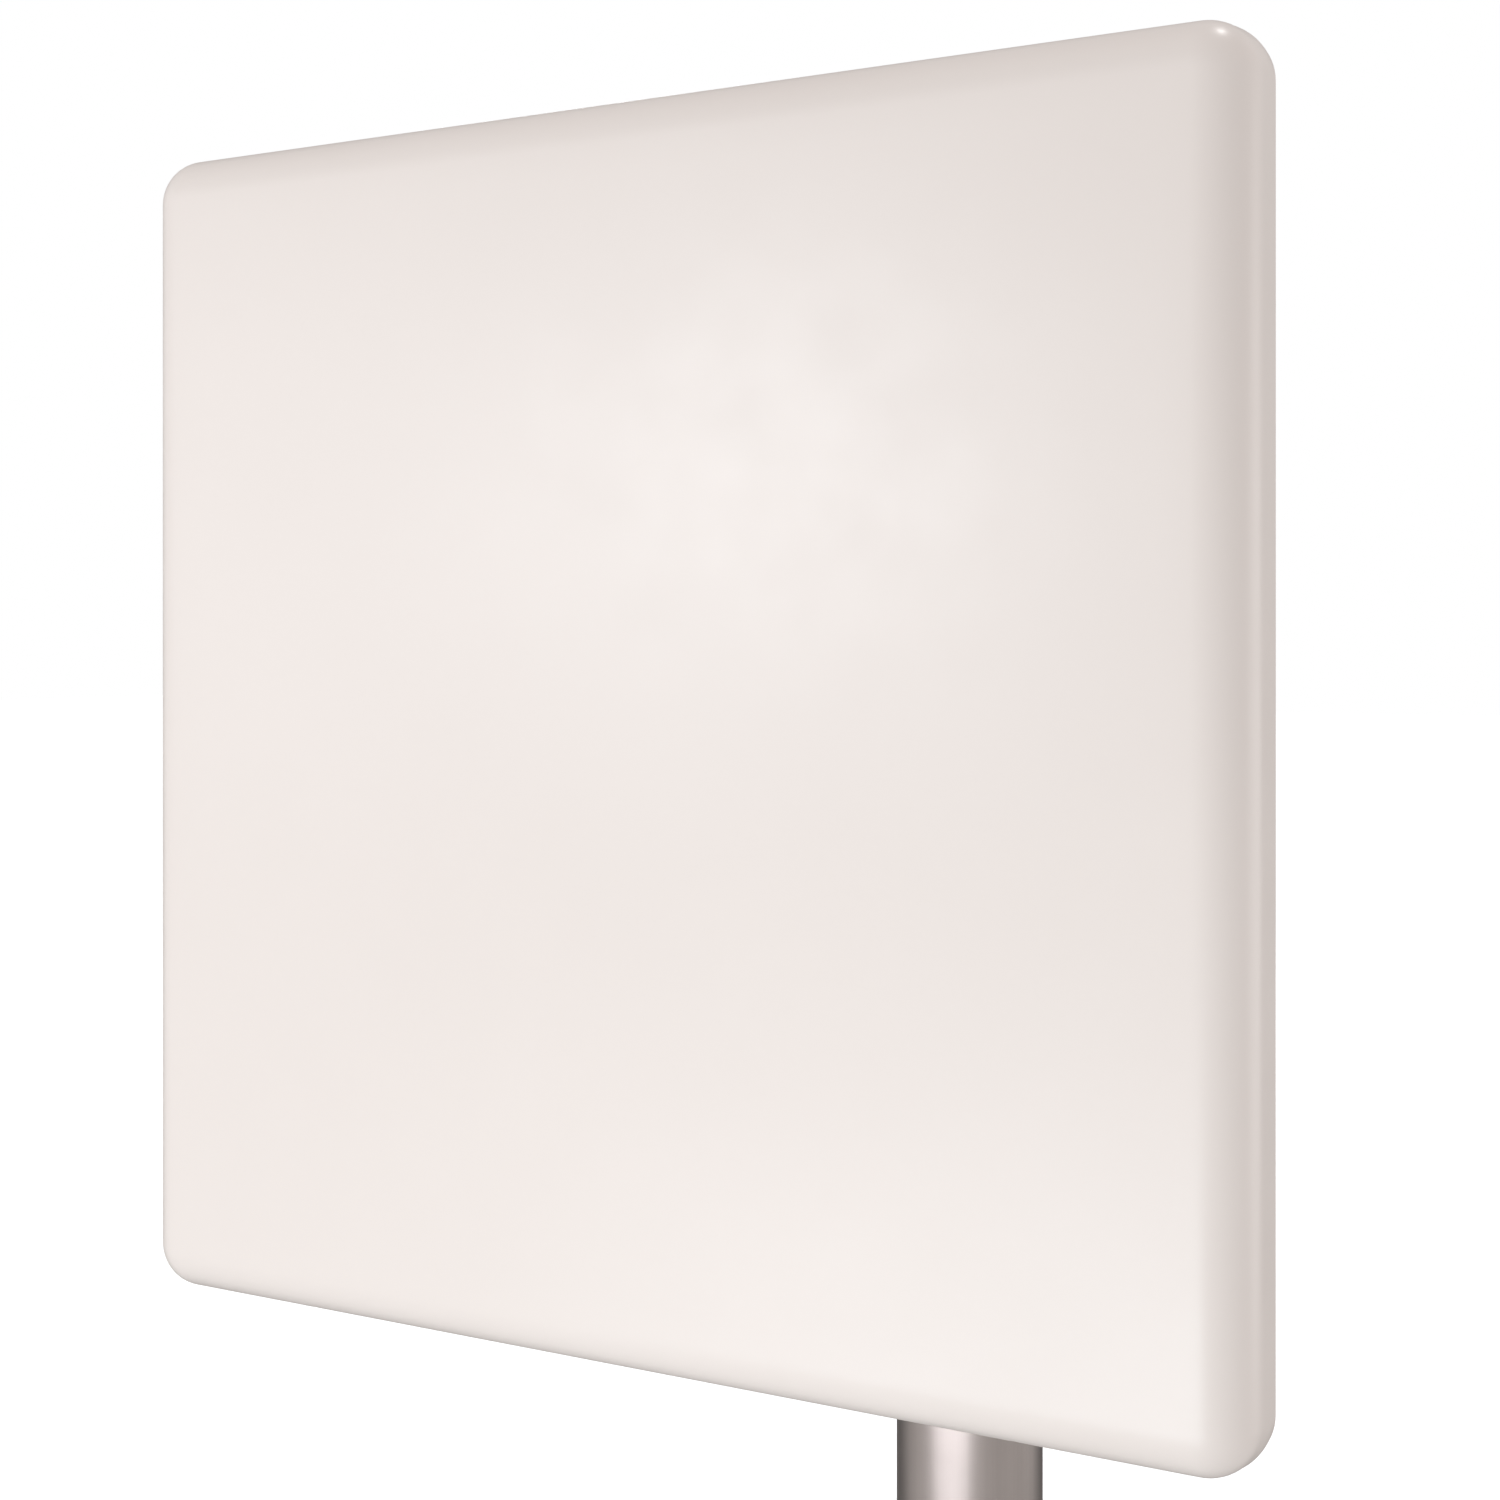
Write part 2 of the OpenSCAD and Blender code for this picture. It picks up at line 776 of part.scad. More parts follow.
// A U-bolt round the back of the mast, at height z.
module u_bolt(z) {
    color("silver") translate([0, 0, z]) {
        rotate_extrude(angle = 180) translate([u_bend_r, 0]) circle(u_rod_r);
        for (sx = [-1, 1]) translate([sx * u_bend_r, 0, 0]) rotate([90, 0, 0])
            cylinder(r = u_rod_r, h = -u_leg_y);
    }
}

module upper_u_bolt() {
    u_bolt(panel_z + u_bolt_z);
}

module lower_u_bolt() {
    u_bolt(panel_z - u_bolt_z);
}

// A cast saddle with a toothed V that grips the mast, at height z.
module saddle(z) {
    apex_y = -(mast_r + gap) / sin(saddle_half_angle);
    flank_x = (saddle_y - apex_y) * tan(saddle_half_angle);
    step = [flank_x, saddle_y - apex_y] / (2 * tooth_count);
    inward = [sin(90 - saddle_half_angle), -cos(90 - saddle_half_angle)] * tooth_depth;
    flank = [for (i = [0:2 * tooth_count])
        [0, apex_y] + i * step + (i % 2 == 1 ? inward : [0, 0])];
    color("gray") translate([0, 0, z - saddle_h / 2]) difference() {
        linear_extrude(saddle_h) polygon(concat(
            [[-saddle_w / 2, saddle_y], [-saddle_w / 2, clamp_web_y],
             [saddle_w / 2, clamp_web_y], [saddle_w / 2, saddle_y]],
            [for (i = [2 * tooth_count:-1:1]) flank[i]],
            [for (i = [0:2 * tooth_count]) [-flank[i][0], flank[i][1]]]
        ));
        for (sx = [-1, 1]) translate([sx * u_bend_r, 0, saddle_h / 2]) rotate([90, 0, 0])
            cylinder(r = u_rod_r + u_hole_play, h = -2 * clamp_web_y);
    }
}

module upper_saddle() {
    saddle(panel_z + u_bolt_z);
}

module lower_saddle() {
    saddle(panel_z - u_bolt_z);
}

module u_bolt_washers() {
    color("silver") at_u_legs() flat_washer(M8);
}

module u_bolt_spring_washers() {
    color("silver") at_u_legs() translate([0, 0, M8[5]]) spring_washer(M8);
}

module u_bolt_nuts() {
    color("silver") at_u_legs() translate([0, 0, M8[5] + M8[6]]) hex_nut(M8);
}

// ---------- mast ----------

module mast() {
    bore_r = mast_r - mast_wall;
    color("rosybrown") difference() {
        cylinder(r = mast_r, h = mast_length);
        bore(bore_r, mast_length);
        translate([0, 0, -cut]) cylinder(r = bore_r + socket_step, h = socket_depth + cut);
    }
}

module mast_cap() {
    plug_r = mast_r - mast_wall - snug;
    color("black") translate([0, 0, mast_length]) rotate_extrude() polygon([
        [0, 0], [0, cap_head_t], [mast_r - cap_bevel, cap_head_t], [mast_r, cap_head_t / 2],
        [mast_r, 0], [plug_r, 0], [plug_r, -cap_plug_l], [plug_r - cap_wall, -cap_plug_l],
        [plug_r - cap_wall, 0]
    ]);
}

radome();
seal_ring();
back_plate();
back_plate_screws();
patch_board();
patch_copper();
board_spacers();
board_screws();
spacer_screws();
jack_body();
jack_insulator();
jack_contact();
jack_gasket();
jack_screws();
mounting_studs();
stud_washers();
stud_spring_washers();
stud_nuts();
polarity_label();
panel_bracket();
swivel_arm();
tilt_pivot_bolts();
tilt_pivot_washers();
tilt_pivot_nuts();
tilt_lock_bolts();
tilt_lock_washers();
tilt_lock_nuts();
swivel_spacer();
swivel_lock_bolts();
swivel_lock_washers();
swivel_lock_nuts();
mast_bracket();
swivel_bolt();
swivel_washers();
swivel_nut();
upper_u_bolt();
lower_u_bolt();
upper_saddle();
lower_saddle();
u_bolt_washers();
u_bolt_spring_washers();
u_bolt_nuts();
mast();
mast_cap();
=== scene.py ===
# A flat panel antenna on an articulated mast bracket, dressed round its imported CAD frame.
#
# Lengths are in metres. The panel's own frame has x to the right, y up and z = 0 on the
# radome's rear edge, with +z towards its face, as in the CAD source.
import math
from collections import namedtuple

import bmesh
import bpy
from mathutils import Matrix, Vector, noise


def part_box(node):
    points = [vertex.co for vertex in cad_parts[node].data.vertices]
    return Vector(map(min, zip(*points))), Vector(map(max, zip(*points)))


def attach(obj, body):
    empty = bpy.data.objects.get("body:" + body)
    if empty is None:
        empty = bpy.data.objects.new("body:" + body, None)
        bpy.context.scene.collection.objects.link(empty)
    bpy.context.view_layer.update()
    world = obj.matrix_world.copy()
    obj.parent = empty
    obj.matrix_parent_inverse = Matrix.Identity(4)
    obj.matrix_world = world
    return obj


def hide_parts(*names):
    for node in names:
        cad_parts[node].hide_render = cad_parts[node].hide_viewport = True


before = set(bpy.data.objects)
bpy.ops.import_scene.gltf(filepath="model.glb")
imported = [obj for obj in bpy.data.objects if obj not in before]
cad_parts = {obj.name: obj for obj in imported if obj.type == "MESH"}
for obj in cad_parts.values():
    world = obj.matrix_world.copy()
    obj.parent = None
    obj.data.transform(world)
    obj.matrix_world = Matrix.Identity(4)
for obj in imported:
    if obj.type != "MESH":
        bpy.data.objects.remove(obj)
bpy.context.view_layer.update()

scene = bpy.context.scene
MM = 0.001
TAU = 2 * math.pi


# ---------- places and sizes, from the frame ----------

Y, Z = 1, 2


def middle(node, axis):
    """The middle of a CAD node's box along an axis."""
    low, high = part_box(node)
    return (low[axis] + high[axis]) / 2


radome_low, radome_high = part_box("radome")
mast_low, mast_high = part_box("mast")
panel_size = radome_high.z - radome_low.z
panel_depth = radome_high.y - radome_low.y
panel_z = middle("radome", Z)
face_centre = Vector((0, radome_low.y, panel_z))
mast_r = mast_high.x

PANEL = Matrix.Translation((0, radome_high.y, panel_z)) @ Matrix.Rotation(math.radians(90), 4, "X")

# Radome
corner_r = 13.5 * MM
edge_r = 13 * MM
radome_wall = 3 * MM
plate_inset = 1 * MM
plate_top = 3 * MM
ledge_z = 4.5 * MM
ledge_t = 5 * MM
ledge_w = 5 * MM
boss_r = 4.5 * MM
boss_pitch = (panel_size - 2 * corner_r) / 4
boss_bore_r = 1.4 * MM
boss_bore_l = 14 * MM
weep_hole_r = 1.5 * MM
weep_hole_x = 110 * MM
weep_hole_z = 15 * MM
spacer_pitch = 39 * MM
spacer_corner = 146 * MM

# Mast
mast_wall = 2.5 * MM
socket_step = 0.5 * MM
socket_depth = 60 * MM
cap_wall = 2 * MM

# Fasteners
Screw = namedtuple("Screw", "shank flats head nut washer_r washer_t spring_t pitch")
M6 = Screw(3 * MM, 10 * MM, 4 * MM, 5 * MM, 6 * MM, 1.2 * MM, 1.6 * MM, 1 * MM)
M8 = Screw(4 * MM, 13 * MM, 5.3 * MM, 6.5 * MM, 8 * MM, 1.6 * MM, 2 * MM, 1.25 * MM)
M10 = Screw(5 * MM, 17 * MM, 6.4 * MM, 8 * MM, 10 * MM, 2 * MM, 2.2 * MM, 1.5 * MM)
PanScrew = namedtuple("PanScrew", "shank head_r head_h length")
PLATE_SCREW = PanScrew(1.35 * MM, 3.2 * MM, 2.1 * MM, 12 * MM)
SPACER_SCREW = PanScrew(1.35 * MM, 2.9 * MM, 1.9 * MM, 6 * MM)
JACK_SCREW = PanScrew(1.45 * MM, 2.8 * MM, 2 * MM, 7.5 * MM)
small_pitch = 0.5 * MM      # of the pan-head screws' threads
thread_depth = 0.6          # of a thread, in pitches
play = 0.2 * MM     # between a washer and its screw
gap = 0.3 * MM      # between faces that move past each other
sheet_t = 3 * MM
hinge_bolt_l = 20 * MM

# Studs, on the back plate
studs_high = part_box("mounting_studs")[1]
stud_head_r = 4.5 * MM
stud_head_t = 1.5 * MM
stud_x = studs_high.x - stud_head_r
stud_z = studs_high.z - stud_head_r - panel_z
stud_out = studs_high.y - radome_high.y

# Swivel arm: a front channel in the tilt hinge, with a rear one welded to its web
front_channel_l = 42 * MM
rear_channel_half_w = 24 * MM
rear_channel_half_h = 33 * MM

# Tilt hinge
tilt_y = middle("tilt_pivot_bolts", Y)
tilt_slot_r = middle("tilt_lock_bolts", Z) - panel_z
ear_outer_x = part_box("panel_bracket")[1].x

# Swivel hinge
swivel_y = middle("swivel_bolt", Y)
swivel_slot_r = swivel_y - middle("swivel_lock_bolts", Y)
flange_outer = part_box("mast_bracket")[1].z - panel_z
spacer_low, spacer_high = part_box("swivel_spacer")
swivel_bolt_end = 3 * MM

# Mast clamps
u_bend_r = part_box("upper_u_bolt")[1].x - M8.shank
u_bolt_z = middle("upper_u_bolt", Z) - panel_z
u_bolt_threaded = 24 * MM
web_front_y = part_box("u_bolt_washers")[1].y

# Jack, in the panel's frame
jack_low, jack_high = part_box("jack_body")
jack_flange = jack_high.x - jack_low.x
jack_y = middle("jack_body", Z) - panel_z
jack_corner_r = 2 * MM
jack_flange_t = 2.5 * MM
jack_hole_pitch = 18.2 * MM
jack_hole_r = 1.6 * MM
jack_barrel_r = 7.94 * MM
jack_barrel_l = 10.7 * MM
jack_bore_r = 4.3 * MM
jack_bore_floor = 1.5 * MM
jack_spigot_r = 6.2 * MM
jack_spigot_l = 7 * MM
jack_insulator_r = 3.5 * MM
jack_pitch = 1.06 * MM


# ---------- mesh tools ----------

class Mesh:
    """The points and faces of one piece, gathered ring by ring."""

    def __init__(self):
        self.points = []
        self.faces = []

    def ring(self, points):
        """Adds the points and returns their numbers."""
        start = len(self.points)
        self.points += [Vector(p) for p in points]
        return list(range(start, len(self.points)))

    def skin(self, rings):
        """Joins each ring to the next one; the rings have equal numbers of points."""
        for low, high in zip(rings, rings[1:]):
            count = len(low)
            for i in range(count):
                j = (i + 1) % count
                self.faces.append((low[i], low[j], high[j], high[i]))

    def cap(self, ring, flip=False):
        """Fills a ring with one face."""
        self.faces.append(tuple(reversed(ring)) if flip else tuple(ring))

    def solid(self, rings):
        """Joins the rings and fills the first and the last."""
        self.skin(rings)
        self.cap(rings[0], flip=True)
        self.cap(rings[-1])

    def add(self, other, matrix=Matrix.Identity(4)):
        start = len(self.points)
        self.points += [matrix @ p for p in other.points]
        self.faces += [tuple(start + i for i in face) for face in other.faces]

    def piece(self, name, body, slot, node, material, place=Matrix.Identity(4)):
        """Makes these points and faces into a piece, moved to its place."""
        data = bpy.data.meshes.new(name)
        data.from_pydata([place @ p for p in self.points], [], self.faces)
        data.validate()
        finish_mesh(data, sharp=35)
        return make_piece(name, data, body, node, material)


def make_piece(name, data, body, node, material):
    """A piece that rides on a body. It stands for a CAD node, unless node is None."""
    data.materials.append(material)
    piece = bpy.data.objects.new(name, data)
    scene.collection.objects.link(piece)
    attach(piece, body)
    if node:
        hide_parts(node)
    return piece


def finish_mesh(data, sharp):
    """Turns the faces outwards and shades them smooth up to the angle sharp."""
    work = bmesh.new()
    work.from_mesh(data)
    bmesh.ops.recalc_face_normals(work, faces=work.faces)
    work.to_mesh(data)
    work.free()
    for face in data.polygons:
        face.use_smooth = True
    data.set_sharp_from_angle(angle=math.radians(sharp))


def lathe(profile, count, closed=True):
    """Turns (radius, height) points about Z; either may be a function of the angle."""
    mesh = Mesh()
    rings = []
    angles = [TAU * i / count for i in range(count)]
    for radius, height in profile:
        radii = [radius(angle) if callable(radius) else radius for angle in angles]
        heights = [height(angle) if callable(height) else height for angle in angles]
        rings.append(mesh.ring([
            (r * math.cos(angle), r * math.sin(angle), z)
            for angle, r, z in zip(angles, radii, heights)]))
    if closed:
        mesh.skin(rings + [rings[0]])
    else:
        mesh.solid(rings)
    return mesh


def tube(stations, count):
    """A closed rod through (centre, side, up, radius) stations; radius is a function of the angle."""
    mesh = Mesh()
    angles = [TAU * i / count for i in range(count)]
    mesh.solid([
        mesh.ring([centre + (side * math.cos(a) + up * math.sin(a)) * radius(a) for a in angles])
        for centre, side, up, radius in stations])
    return mesh


def arc(centre, radius, start, end, count):
    """Points along an arc in a (radius, height) profile, by angles in degrees."""
    return [
        (centre[0] + radius * math.cos(math.radians(start + (end - start) * i / count)),
         centre[1] + radius * math.sin(math.radians(start + (end - start) * i / count)))
        for i in range(count + 1)]


def temporary(mesh, name):
    """An object made from a Mesh, to be removed again."""
    data = bpy.data.meshes.new(name)
    data.from_pydata(mesh.points, [], mesh.faces)
    finish_mesh(data, sharp=30)
    item = bpy.data.objects.new(name, data)
    scene.collection.objects.link(item)
    return item


def carve(mesh, cutter):
    """The Mesh that is left when the Mesh cutter is taken away from another."""
    stock = temporary(mesh, "stock")
    tool = temporary(cutter, "tool")
    modifier = stock.modifiers.new("carve", "BOOLEAN")
    modifier.operation = "DIFFERENCE"
    modifier.solver = "EXACT"
    modifier.object = tool
    left = stock.evaluated_get(bpy.context.evaluated_depsgraph_get()).to_mesh()
    result = Mesh()
    result.points = [v.co.copy() for v in left.vertices]
    result.faces = [tuple(p.vertices) for p in left.polygons]
    for item in (stock, tool):
        data = item.data
        bpy.data.objects.remove(item)
        bpy.data.meshes.remove(data)
    return result


def copies(mesh, places):
    """One Mesh with a copy of another at each place."""
    result = Mesh()
    for place in places:
        result.add(mesh, place)
    return result


def shift(x, y, z):
    return Matrix.Translation((x, y, z))


def turn(degrees, axis):
    return Matrix.Rotation(math.radians(degrees), 4, axis)


# ---------- shapes of fasteners, each along +Z from z = 0 ----------

def thread_profile(crest_r, pitch, low, high):
    """Profile entries of a thread from low to high, chamfered at low and fading out at high."""
    steps = math.ceil((high - low) / pitch * 8)
    depth = thread_depth * pitch
    chamfer = 1.1 * depth
    land = 0.15             # the flat of the crest, and of the root, in half pitches

    def entry(z):
        limit = crest_r - max(0, chamfer - (z - low))
        fade = min(1, (high - z) / pitch)

        def radius(angle):
            ridge = abs(2 * ((z / pitch - angle / TAU) % 1) - 1)
            flank = min(1, max(0, (ridge - land) / (1 - 2 * land)))
            return min(limit, crest_r - fade * depth * flank)
        return radius, z

    return [entry(low + (high - low) * i / steps) for i in range(steps + 1)]


def hex_radius(flats):
    """The outline of a hexagon whose corners are a little eased, as a function of the angle."""
    return lambda angle: min(flats / 2 / math.cos(angle % (TAU / 6) - TAU / 12), flats / 1.755)


def hex_prism(flats, height, both=False, bore=0):
    """A hexagonal head, or a bored nut, with the ends of its corners turned down."""
    outline = hex_radius(flats)
    face_r = flats * 0.475  # of the flat that the turning leaves
    slope = math.tan(math.radians(27))
    ease = 0.5 * MM

    def down(base, sign):
        return lambda angle: base + sign * (outline(angle) - face_r) * slope

    profile = [(outline, down(height, -1)), (face_r, height)]
    if both:
        profile = [(face_r, 0), (outline, down(0, 1))] + profile
    else:
        profile = [(face_r, 0), (outline, 0.1 * MM)] + profile
    if bore:
        profile += [(bore + ease, height), (bore, height - ease), (bore, ease), (bore + ease, 0)]
    else:
        profile += [(face_r * 0.8, height), (face_r * 0.7, height - 0.15 * MM)]
    return lathe(profile, 72, closed=bool(bore))


def hex_bolt(size, length, threaded):
    """A screw whose head stands on z = 0, with its shank going down."""
    mesh = hex_prism(size.flats, size.head)
    shank = thread_profile(size.shank, size.pitch, -length, threaded - length)
    mesh.add(lathe(shank + [(size.shank, 0.3 * MM)], 32, closed=False))
    return mesh


def hex_nut(size):
    return hex_prism(size.flats, size.nut, both=True, bore=size.shank - 0.2 * MM)


def flat_washer(size):
    inner = size.shank + play
    ease = 0.25 * MM
    return lathe([
        (inner, 0), (size.washer_r - ease / 2, 0), (size.washer_r, ease / 2),
        (size.washer_r, size.washer_t - ease), (size.washer_r - ease, size.washer_t),
        (inner, size.washer_t)], 64)


def spring_washer(size):
    """A split ring whose two ends stand apart in height."""
    inner = size.shank + play
    outer = size.shank * 1.75
    steps = 56
    split = 0.09            # from +X to each of its ends, in radians
    rise = 0.12 * size.spring_t
    thick = size.spring_t - rise
    ease = 0.2 * MM
    section = [(inner, ease), (inner + ease, 0), (outer - ease, 0), (outer, ease), (outer, thick - ease),
               (outer - ease, thick), (inner + ease, thick), (inner, thick - ease)]
    mesh = Mesh()
    rings = []
    for i in range(steps + 1):
        angle = split + (TAU - 2 * split) * i / steps
        lift = rise * i / steps
        rings.append(mesh.ring([
            (r * math.cos(angle), r * math.sin(angle), z + lift) for r, z in section]))
    mesh.solid(rings)
    return mesh


def pan_screw(size):
    """A pan-head screw with a cross recess: its head stands on z = 0, its shank goes down."""
    r, h = size.head_r, size.head_h
    head = lathe([(r * 0.97, 0), (r, 0.06 * h), (r, 0.3 * h), (0.97 * r, 0.52 * h), (0.89 * r, 0.74 * h),
                  (0.76 * r, 0.9 * h), (0.6 * r, 0.98 * h), (0.45 * r, h)], 40, closed=False)
    wing = Mesh()
    half_top, half_bottom = r * 0.17, r * 0.12
    reach_top, reach_bottom = r * 0.6, r * 0.32
    rings = []
    recess_floor, above = 0.35 * h, 1.2 * h
    for half, reach, z in ((half_bottom, reach_bottom, recess_floor), (half_top, reach_top, above)):
        rings.append(wing.ring([
            (reach, -half, z), (reach, half, z), (half, half, z), (half, reach, z), (-half, reach, z),
            (-half, half, z), (-reach, half, z), (-reach, -half, z), (-half, -half, z),
            (-half, -reach, z), (half, -reach, z), (half, -half, z)]))
    wing.solid(rings)
    screw = carve(head, wing)
    shank = thread_profile(size.shank, small_pitch, -size.length, -0.3 * MM)
    screw.add(lathe(shank[::2] + [(size.shank, 0.1 * MM)], 16, closed=False))
    return screw


# ---------- material tools ----------

class Shader:
    """A Principled material; what is the same all over is set on the shader's own sockets."""

    def __init__(self, name, **constants):
        self.material = bpy.data.materials.new(name)
        self.material.use_nodes = True
        self.tree = self.material.node_tree
        self.bsdf = self.tree.nodes["Principled BSDF"]
        for socket, value in constants.items():
            self.bsdf.inputs[socket.replace("_", " ")].default_value = value
        self.object_point = self.node("TexCoord").outputs["Object"]

    def node(self, kind, **settings):
        node = self.tree.nodes.new("ShaderNode" + kind)
        for key, value in settings.items():
            setattr(node, key, value)
        return node

    def feed(self, socket, value):
        if isinstance(value, bpy.types.NodeSocket):
            self.tree.links.new(value, socket)
        else:
            socket.default_value = value

    def stretched(self, x, y, z):
        """The point in the object's frame, scaled along each axis."""
        node = self.node("Mapping")
        self.feed(node.inputs["Vector"], self.object_point)
        node.inputs["Scale"].default_value = (x, y, z)
        return node.outputs["Vector"]

    def wandering(self, scale, reach):
        """The point in the object's frame, pushed about by noise so that edges turn ragged."""
        bent = self.node("VectorMath", operation="ADD")
        self.feed(bent.inputs[0], self.object_point)
        wobble = self.node("TexNoise")
        self.feed(wobble.inputs["Vector"], self.object_point)
        wobble.inputs["Scale"].default_value = scale
        scaled = self.node("VectorMath", operation="SCALE")
        scaled.inputs["Scale"].default_value = reach
        self.feed(scaled.inputs[0], wobble.outputs["Color"])
        self.feed(bent.inputs[1], scaled.outputs[0])
        return bent.outputs[0]

    def noise(self, scale, detail=3, roughness=0.5, point=None):
        node = self.node("TexNoise")
        self.feed(node.inputs["Vector"], point or self.object_point)
        node.inputs["Scale"].default_value = scale
        node.inputs["Detail"].default_value = detail
        node.inputs["Roughness"].default_value = roughness
        return node.outputs["Fac"]

    def cells(self, scale, point=None, output="Color"):
        node = self.node("TexVoronoi", feature="F1")
        self.feed(node.inputs["Vector"], point or self.object_point)
        node.inputs["Scale"].default_value = scale
        return node.outputs[output]

    def span(self, value, from_low, from_high, to_low, to_high):
        node = self.node("MapRange")
        self.feed(node.inputs["Value"], value)
        for key, number in (("From Min", from_low), ("From Max", from_high),
                            ("To Min", to_low), ("To Max", to_high)):
            node.inputs[key].default_value = number
        return node.outputs["Result"]

    def math(self, operation, a, b):
        node = self.node("Math", operation=operation)
        self.feed(node.inputs[0], a)
        self.feed(node.inputs[1], b)
        return node.outputs[0]

    def plus(self, a, weight, b):
        """The value a times its weight, plus b."""
        return self.math("ADD", self.math("MULTIPLY", a, weight), b)

    def blend(self, factor, a, b):
        node = self.node("Mix", data_type="RGBA")
        self.feed(node.inputs["Factor"], factor)
        self.feed(node.inputs["A"], a)
        self.feed(node.inputs["B"], b)
        return node.outputs["Result"]

    def colour(self, value):
        self.feed(self.bsdf.inputs["Base Color"], value)

    def shade(self, value, low, high, first, last):
        """A colour that goes from first to last as the value goes from low to high."""
        self.colour(self.blend(self.span(value, low, high, 0, 1), (*first, 1), (*last, 1)))

    def roughness(self, value, low, high, first, last):
        """A roughness that goes from first to last as the value goes from low to high."""
        self.feed(self.bsdf.inputs["Roughness"], self.span(value, low, high, first, last))

    def bump(self, height, strength, distance):
        node = self.node("Bump")
        node.inputs["Strength"].default_value = strength
        node.inputs["Distance"].default_value = distance
        self.feed(node.inputs["Height"], height)
        self.tree.links.new(node.outputs["Normal"], self.bsdf.inputs["Normal"])


def radome_plastic():
    """White moulded plastic with a satin gloss and a trace of orange peel."""
    shader = Shader("radome_plastic", IOR=1.5)
    clouds = shader.noise(9, detail=4)
    shader.shade(clouds, 0.3, 0.7, (0.86, 0.768, 0.720), (0.875, 0.783, 0.735))
    shader.roughness(shader.noise(60, detail=5), 0.3, 0.7, 0.31, 0.36)
    shader.bump(shader.noise(420, detail=2), 0.08, 0.2 * MM)
    return shader.material


def mast_steel():
    """A drawn tube with a satin finish, fine lines along its length and faint handling marks."""
    shader = Shader("mast_steel", Metallic=1.0)
    lines = shader.noise(1, detail=6, roughness=0.65, point=shader.stretched(2600, 2600, 9))
    bands = shader.noise(1, detail=3, point=shader.stretched(260, 260, 2.5))
    clouds = shader.noise(14, detail=6, roughness=0.6)
    tone = shader.plus(bands, 0.5, shader.plus(lines, 0.35, clouds))
    shader.shade(tone, 0.7, 1.15, (0.43, 0.375, 0.35), (0.505, 0.442, 0.414))
    shader.roughness(tone, 0.7, 1.15, 0.39, 0.32)
    shader.bump(lines, 0.07, 0.06 * MM)
    return shader.material


def galvanised_steel():
    """Zinc-coated sheet: crystals of a few millimetres, each with its own tone and gloss."""
    shader = Shader("bracket_steel", Metallic=1.0)
    point = shader.wandering(220, 3 * MM)
    crystals = shader.cells(190, point=point)
    facets = shader.cells(420, point=point)
    clouds = shader.noise(26, detail=5)
    tone = shader.plus(crystals, 0.6, shader.math("MULTIPLY", clouds, 0.7))
    shader.shade(tone, 0.35, 0.95, (0.42, 0.435, 0.45), (0.66, 0.67, 0.68))
    shader.roughness(shader.plus(facets, 0.5, crystals), 0.2, 1.1, 0.3, 0.5)
    shader.bump(shader.plus(crystals, 0.6, shader.noise(700, detail=3)), 0.12, 0.08 * MM)
    return shader.material


def stainless_steel():
    """Bright fasteners: cold-formed metal with a soft bloom and fine scuffs."""
    shader = Shader("stainless_steel", Metallic=1.0)
    clouds = shader.noise(70, detail=5)
    shader.shade(clouds, 0.3, 0.7, (0.58, 0.57, 0.55), (0.68, 0.67, 0.65))
    scuffs = shader.noise(1, detail=3, point=shader.stretched(900, 900, 160))
    shader.roughness(shader.plus(scuffs, 0.5, clouds), 0.45, 1.05, 0.18, 0.32)
    shader.bump(shader.noise(260, detail=2), 0.03, 0.1 * MM)
    return shader.material


def cast_aluminium():
    """The saddles: a grainy cast skin, shot-blasted, with darker hollows."""
    shader = Shader("saddle_aluminium", Metallic=1.0)
    grain = shader.noise(900, detail=4)
    clouds = shader.noise(40, detail=4)
    shader.shade(shader.math("ADD", grain, clouds), 0.7, 1.3, (0.36, 0.36, 0.355), (0.56, 0.56, 0.55))
    shader.roughness(clouds, 0.3, 0.7, 0.48, 0.64)
    shader.bump(grain, 0.45, 0.15 * MM)
    return shader.material


def rolled_aluminium():
    """The back plate: mill finish, with rolling lines up and down and soft stains."""
    shader = Shader("plate_aluminium", Metallic=1.0)
    lines = shader.noise(1, detail=6, roughness=0.7, point=shader.stretched(1800, 1800, 7))
    clouds = shader.noise(11, detail=5)
    tone = shader.plus(lines, 0.6, clouds)
    shader.shade(tone, 0.55, 1.05, (0.60, 0.605, 0.61), (0.74, 0.742, 0.745))
    shader.roughness(shader.math("ADD", lines, clouds), 0.7, 1.3, 0.3, 0.46)
    shader.bump(lines, 0.1, 0.08 * MM)
    return shader.material


def seal_rubber():
    """Closed-cell rubber, dull and slightly pitted."""
    shader = Shader("seal_rubber", IOR=1.45)
    pores = shader.cells(1300, output="Distance")
    shader.shade(shader.noise(70), 0.3, 0.7, (0.018, 0.018, 0.019), (0.035, 0.034, 0.034))
    shader.roughness(pores, 0, 0.6, 0.92, 0.72)
    shader.bump(pores, 0.4, 0.15 * MM)
    return shader.material


def board_laminate():
    """Bare microwave laminate: the weave of its glass cloth shows through."""
    shader = Shader("board_laminate", IOR=1.5)
    warp = shader.node("TexWave", bands_direction="X")
    weft = shader.node("TexWave", bands_direction="Z")
    for wave in (warp, weft):
        shader.feed(wave.inputs["Vector"], shader.object_point)
        wave.inputs["Scale"].default_value = 260
        wave.inputs["Distortion"].default_value = 0.6
    weave = shader.math("MULTIPLY", warp.outputs["Fac"], weft.outputs["Fac"])
    shader.colour(shader.blend(weave, (0.30, 0.28, 0.14, 1), (0.46, 0.43, 0.26, 1)))
    shader.roughness(shader.noise(120), 0.3, 0.7, 0.38, 0.52)
    shader.bump(weave, 0.2, 0.05 * MM)
    return shader.material


